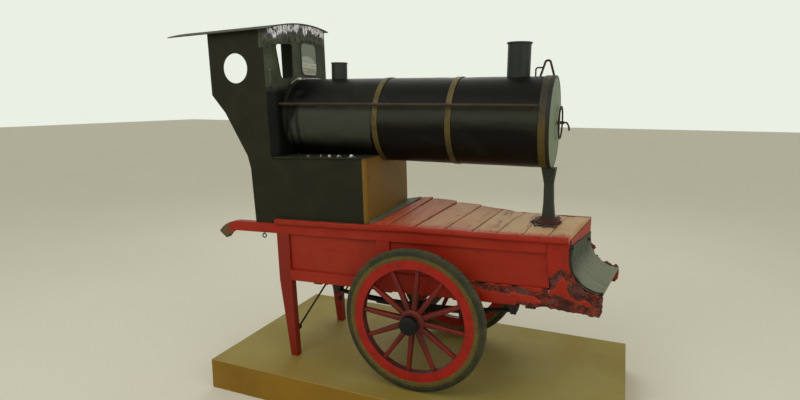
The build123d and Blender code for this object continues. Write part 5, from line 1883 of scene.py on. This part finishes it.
@dataclass
class Drum:
    """The long black drum and what it carries."""

    radius: float = 0.208
    rear: float = -0.770
    front: float = 0.502
    # Dents: place along, degrees up from the right side, half width, depth
    dents: tuple = (
        *((-0.735, 5, 0.035, 0.0050), (-0.690, -18, 0.030, 0.0035), (-0.700, 38, 0.050, 0.0060)),
        *((-0.62, -8, 0.07, 0.0035), (-0.50, -28, 0.06, 0.0045), (-0.40, -12, 0.05, 0.0030)),
        *((-0.55, 24, 0.08, 0.0025), (-0.34, -34, 0.05, 0.0040), (-0.18, 12, 0.07, 0.0020)),
        *((0.02, -20, 0.06, 0.0018), (0.22, 14, 0.08, 0.0022), (0.36, -10, 0.06, 0.0020)),
        *((0.30, 170, 0.09, 0.0030), (-0.45, 195, 0.08, 0.0035), (0.10, 88, 0.10, 0.0015)),
    )
    seam_turn: float = -92.5
    # How many rivets: on the seam with the first one's place and the step, and on the ring with its
    # place along and radius
    seam_rivets: tuple = (24, 0.04, 0.052)
    ring_rivets: tuple = (28, 0.516, 0.2108)

    def skin(self, x: float, turn: float) -> Vector:
        """A point on the drum's dented skin.

        Args:
            x: place along.
            turn: radians up from the right side.

        Returns:
            The point in the frame.
        """
        spot = Vector((x, -self.radius * math.cos(turn), self.radius * math.sin(turn)))
        depth = 0.0009 * max(0.0, rough(spot, 8)) + 0.0004
        for place, degrees, half, deep in self.dents:
            swing = math.remainder(turn - math.radians(degrees), math.tau) * self.radius
            away = math.hypot(x - place, swing * 1.4) / half
            if away < 1:
                depth += deep * (1 - away * away) ** 2
        return round_drum(x, turn, self.radius - depth)

    def build(self) -> None:
        """Dresses the drum's fittings and builds its skin and seams."""
        dress(BRASS, "drum_bands")
        dress(RING_METAL, "front_ring")
        dress(DISC_SHEET, "front_disc")
        dress(RAIL_IRON, "handrail_left", "handrail_right", "disc_handle", "front_hooks")
        dress(FLUE_SHEET, "chimney_front", "chimney_rear")
        dress(COLUMN_IRON, "column")
        shape = Shape()
        length = self.front - self.rear
        rows, columns = 150, 128

        def at(run: float, share: float) -> Vector:
            """A point on the skin by shares."""
            return self.skin(self.rear + length * run, math.tau * share)

        shape.grid(at, rows, columns, ring=True)
        shape.lid(0, columns)
        shape.lid(rows * columns, columns, inward=True)
        shape.piece("drum_skin", DRUM_SHEET, "drum_sheet", instead=("drum",))
        self.seam()
        self.rivets()

    def seam(self) -> None:
        """Builds the lapped seam along the drum's underside."""
        shape = Shape()

        def at(run: float, share: float, lift: float) -> Vector:
            """A point on the lap."""
            x = self.rear + 0.002 + (self.front - self.rear - 0.004) * run
            turn = math.radians(-96 + 7 * share)
            return self.skin(x, turn) + away_from_drum(turn) * lift

        shape.slab(at, 0.0016, -0.001, 90, 3)
        shape.piece("drum_seam", DRUM_SHEET, "drum_sheet")

    def rivets(self) -> None:
        """Sets the rivets of the seam and the ring."""
        turn = math.radians(self.seam_turn)
        out = away_from_drum(turn)
        count, first, step = self.seam_rivets
        seats = [
            (self.skin(self.rear + first + number * step, turn) + out * 0.0016, out)
            for number in range(count)
        ]
        Studs("seam_rivets", StudKind.RIVET, 0.004, 0.002, DRUM_SHEET, "drum_sheet").set_out(seats)
        count, x, radius = self.ring_rivets
        ways = [away_from_drum(math.tau * number / count) for number in range(count)]
        ring = [(Vector((x, 0, DRUM_AXIS)) + way * radius, way) for way in ways]
        Studs("ring_rivets", StudKind.RIVET, 0.0038, 0.002, RING_METAL, "ring_sheet").set_out(ring)


@dataclass
class Studio:
    """Floor, light and camera."""

    focal: float = 24.16
    camera_place: tuple = (0.8475, -2.562, 1.527)
    yaw: float = 22.52
    pitch: float = 10.56
    roll: float = 0.0039
    # Lamps: name, place, what it faces, width, watts
    lamps: tuple = (
        ("key", (-1.2, -3.4, 4.4), (0.0, 0.0, 0.9), 2.6, 60),
        ("fill", (3.6, -1.8, 3.0), (0.2, 0.0, 0.9), 2.2, 25),
        ("rear", (-1.5, 3.6, 3.6), (0.0, 0.0, 0.9), 2.6, 30),
    )

    def build(self) -> None:
        """Builds the floor, the world, the lamps and the camera."""
        scene = bpy.context.scene
        scene.view_settings.view_transform = "Standard"
        mesh = bpy.data.meshes.new("studio_floor")
        far = 30.0
        corners = [(-far, -far, 0), (far, -far, 0), (far, far, 0), (-far, far, 0)]
        mesh.from_pydata(corners, [], [(0, 1, 2, 3)])
        floor = linked("studio_floor", mesh)
        material = bpy.data.materials.new("studio_floor")
        bench = Bench(tree_of(material))
        bench.skin(bench.blend(bench.noise(0.8, 2), tint(226, 224, 212), tint(232, 230, 220)), 0.9)
        mesh.materials.append(material)
        floor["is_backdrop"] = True
        world = bpy.data.worlds.new("studio_world")
        scene.world = world
        sky = Bench(tree_of(world))
        soft = sky.node("ShaderNodeBackground", values={"Color": tint(238, 236, 216), "Strength": 0.6})
        plain = sky.node("ShaderNodeBackground", values={"Color": tint(234, 240, 228), "Strength": 1.0})
        camera, glossy, through = (
            sky.node("ShaderNodeLightPath", output=f"Is {ray} Ray")
            for ray in ("Camera", "Glossy", "Transmission")
        )
        seen = camera.over(glossy).over(through)
        backdrop = sky.node("ShaderNodeMixShader", values={0: seen, 1: soft, 2: plain})
        sky.node("ShaderNodeOutputWorld", values={"Surface": backdrop})
        for lamp in self.lamps:
            self.lamp(*lamp)
        self.camera()

    def lamp(self, name: str, place: tuple, target: tuple, size: float, power: float) -> None:
        """Adds one soft square lamp.

        Args:
            name: its name.
            place, target: where it hangs and what it faces.
            size: its width.
            power: its strength in watts.
        """
        data = bpy.data.lights.new(name, "AREA")
        data.size = size
        data.energy = power
        data.color = (1.0, 0.985, 0.95)
        lamp = linked(name, data)
        lamp.location = place
        lamp.rotation_euler = (Vector(target) - Vector(place)).to_track_quat("-Z", "Y").to_euler()

    def camera(self) -> None:
        """Adds the camera at the photograph's place and angle."""
        data = bpy.data.cameras.new("camera")
        data.sensor_width = 36
        data.lens = self.focal
        data.clip_end = 100
        camera = linked("camera", data)
        yaw, pitch = math.radians(self.yaw), math.radians(self.pitch)
        level = math.cos(pitch)
        ahead = Vector((-math.sin(yaw) * level, math.cos(yaw) * level, -math.sin(pitch)))
        right = Vector((math.cos(yaw), math.sin(yaw), 0))
        up = right.cross(ahead)
        right, up = (right + up * self.roll).normalized(), (up - right * self.roll).normalized()
        turned = Matrix((right, up, -ahead)).transposed().to_4x4()
        camera.matrix_world = Matrix.Translation(self.camera_place) @ turned
        bpy.context.scene.camera = camera


def main() -> None:
    """Builds every class in order."""
    logging.basicConfig(level=logging.INFO, format="%(message)s", stream=sys.stdout)
    Studio().build()
    Plinth().build()
    Body().build()
    Deck().build()
    Springs().build()
    for hand, sign in (("right", -1), ("left", 1)):
        Wheel(hand, sign).build()
    Firebox().build()
    Cab().build()
    Drum().build()
    sizes = {"cad": LOADED_BOUNDS, "visual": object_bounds()}
    plain = {name: [[float(part) for part in corner] for corner in box] for name, box in sizes.items()}


if __name__ == "__main__":
    main()
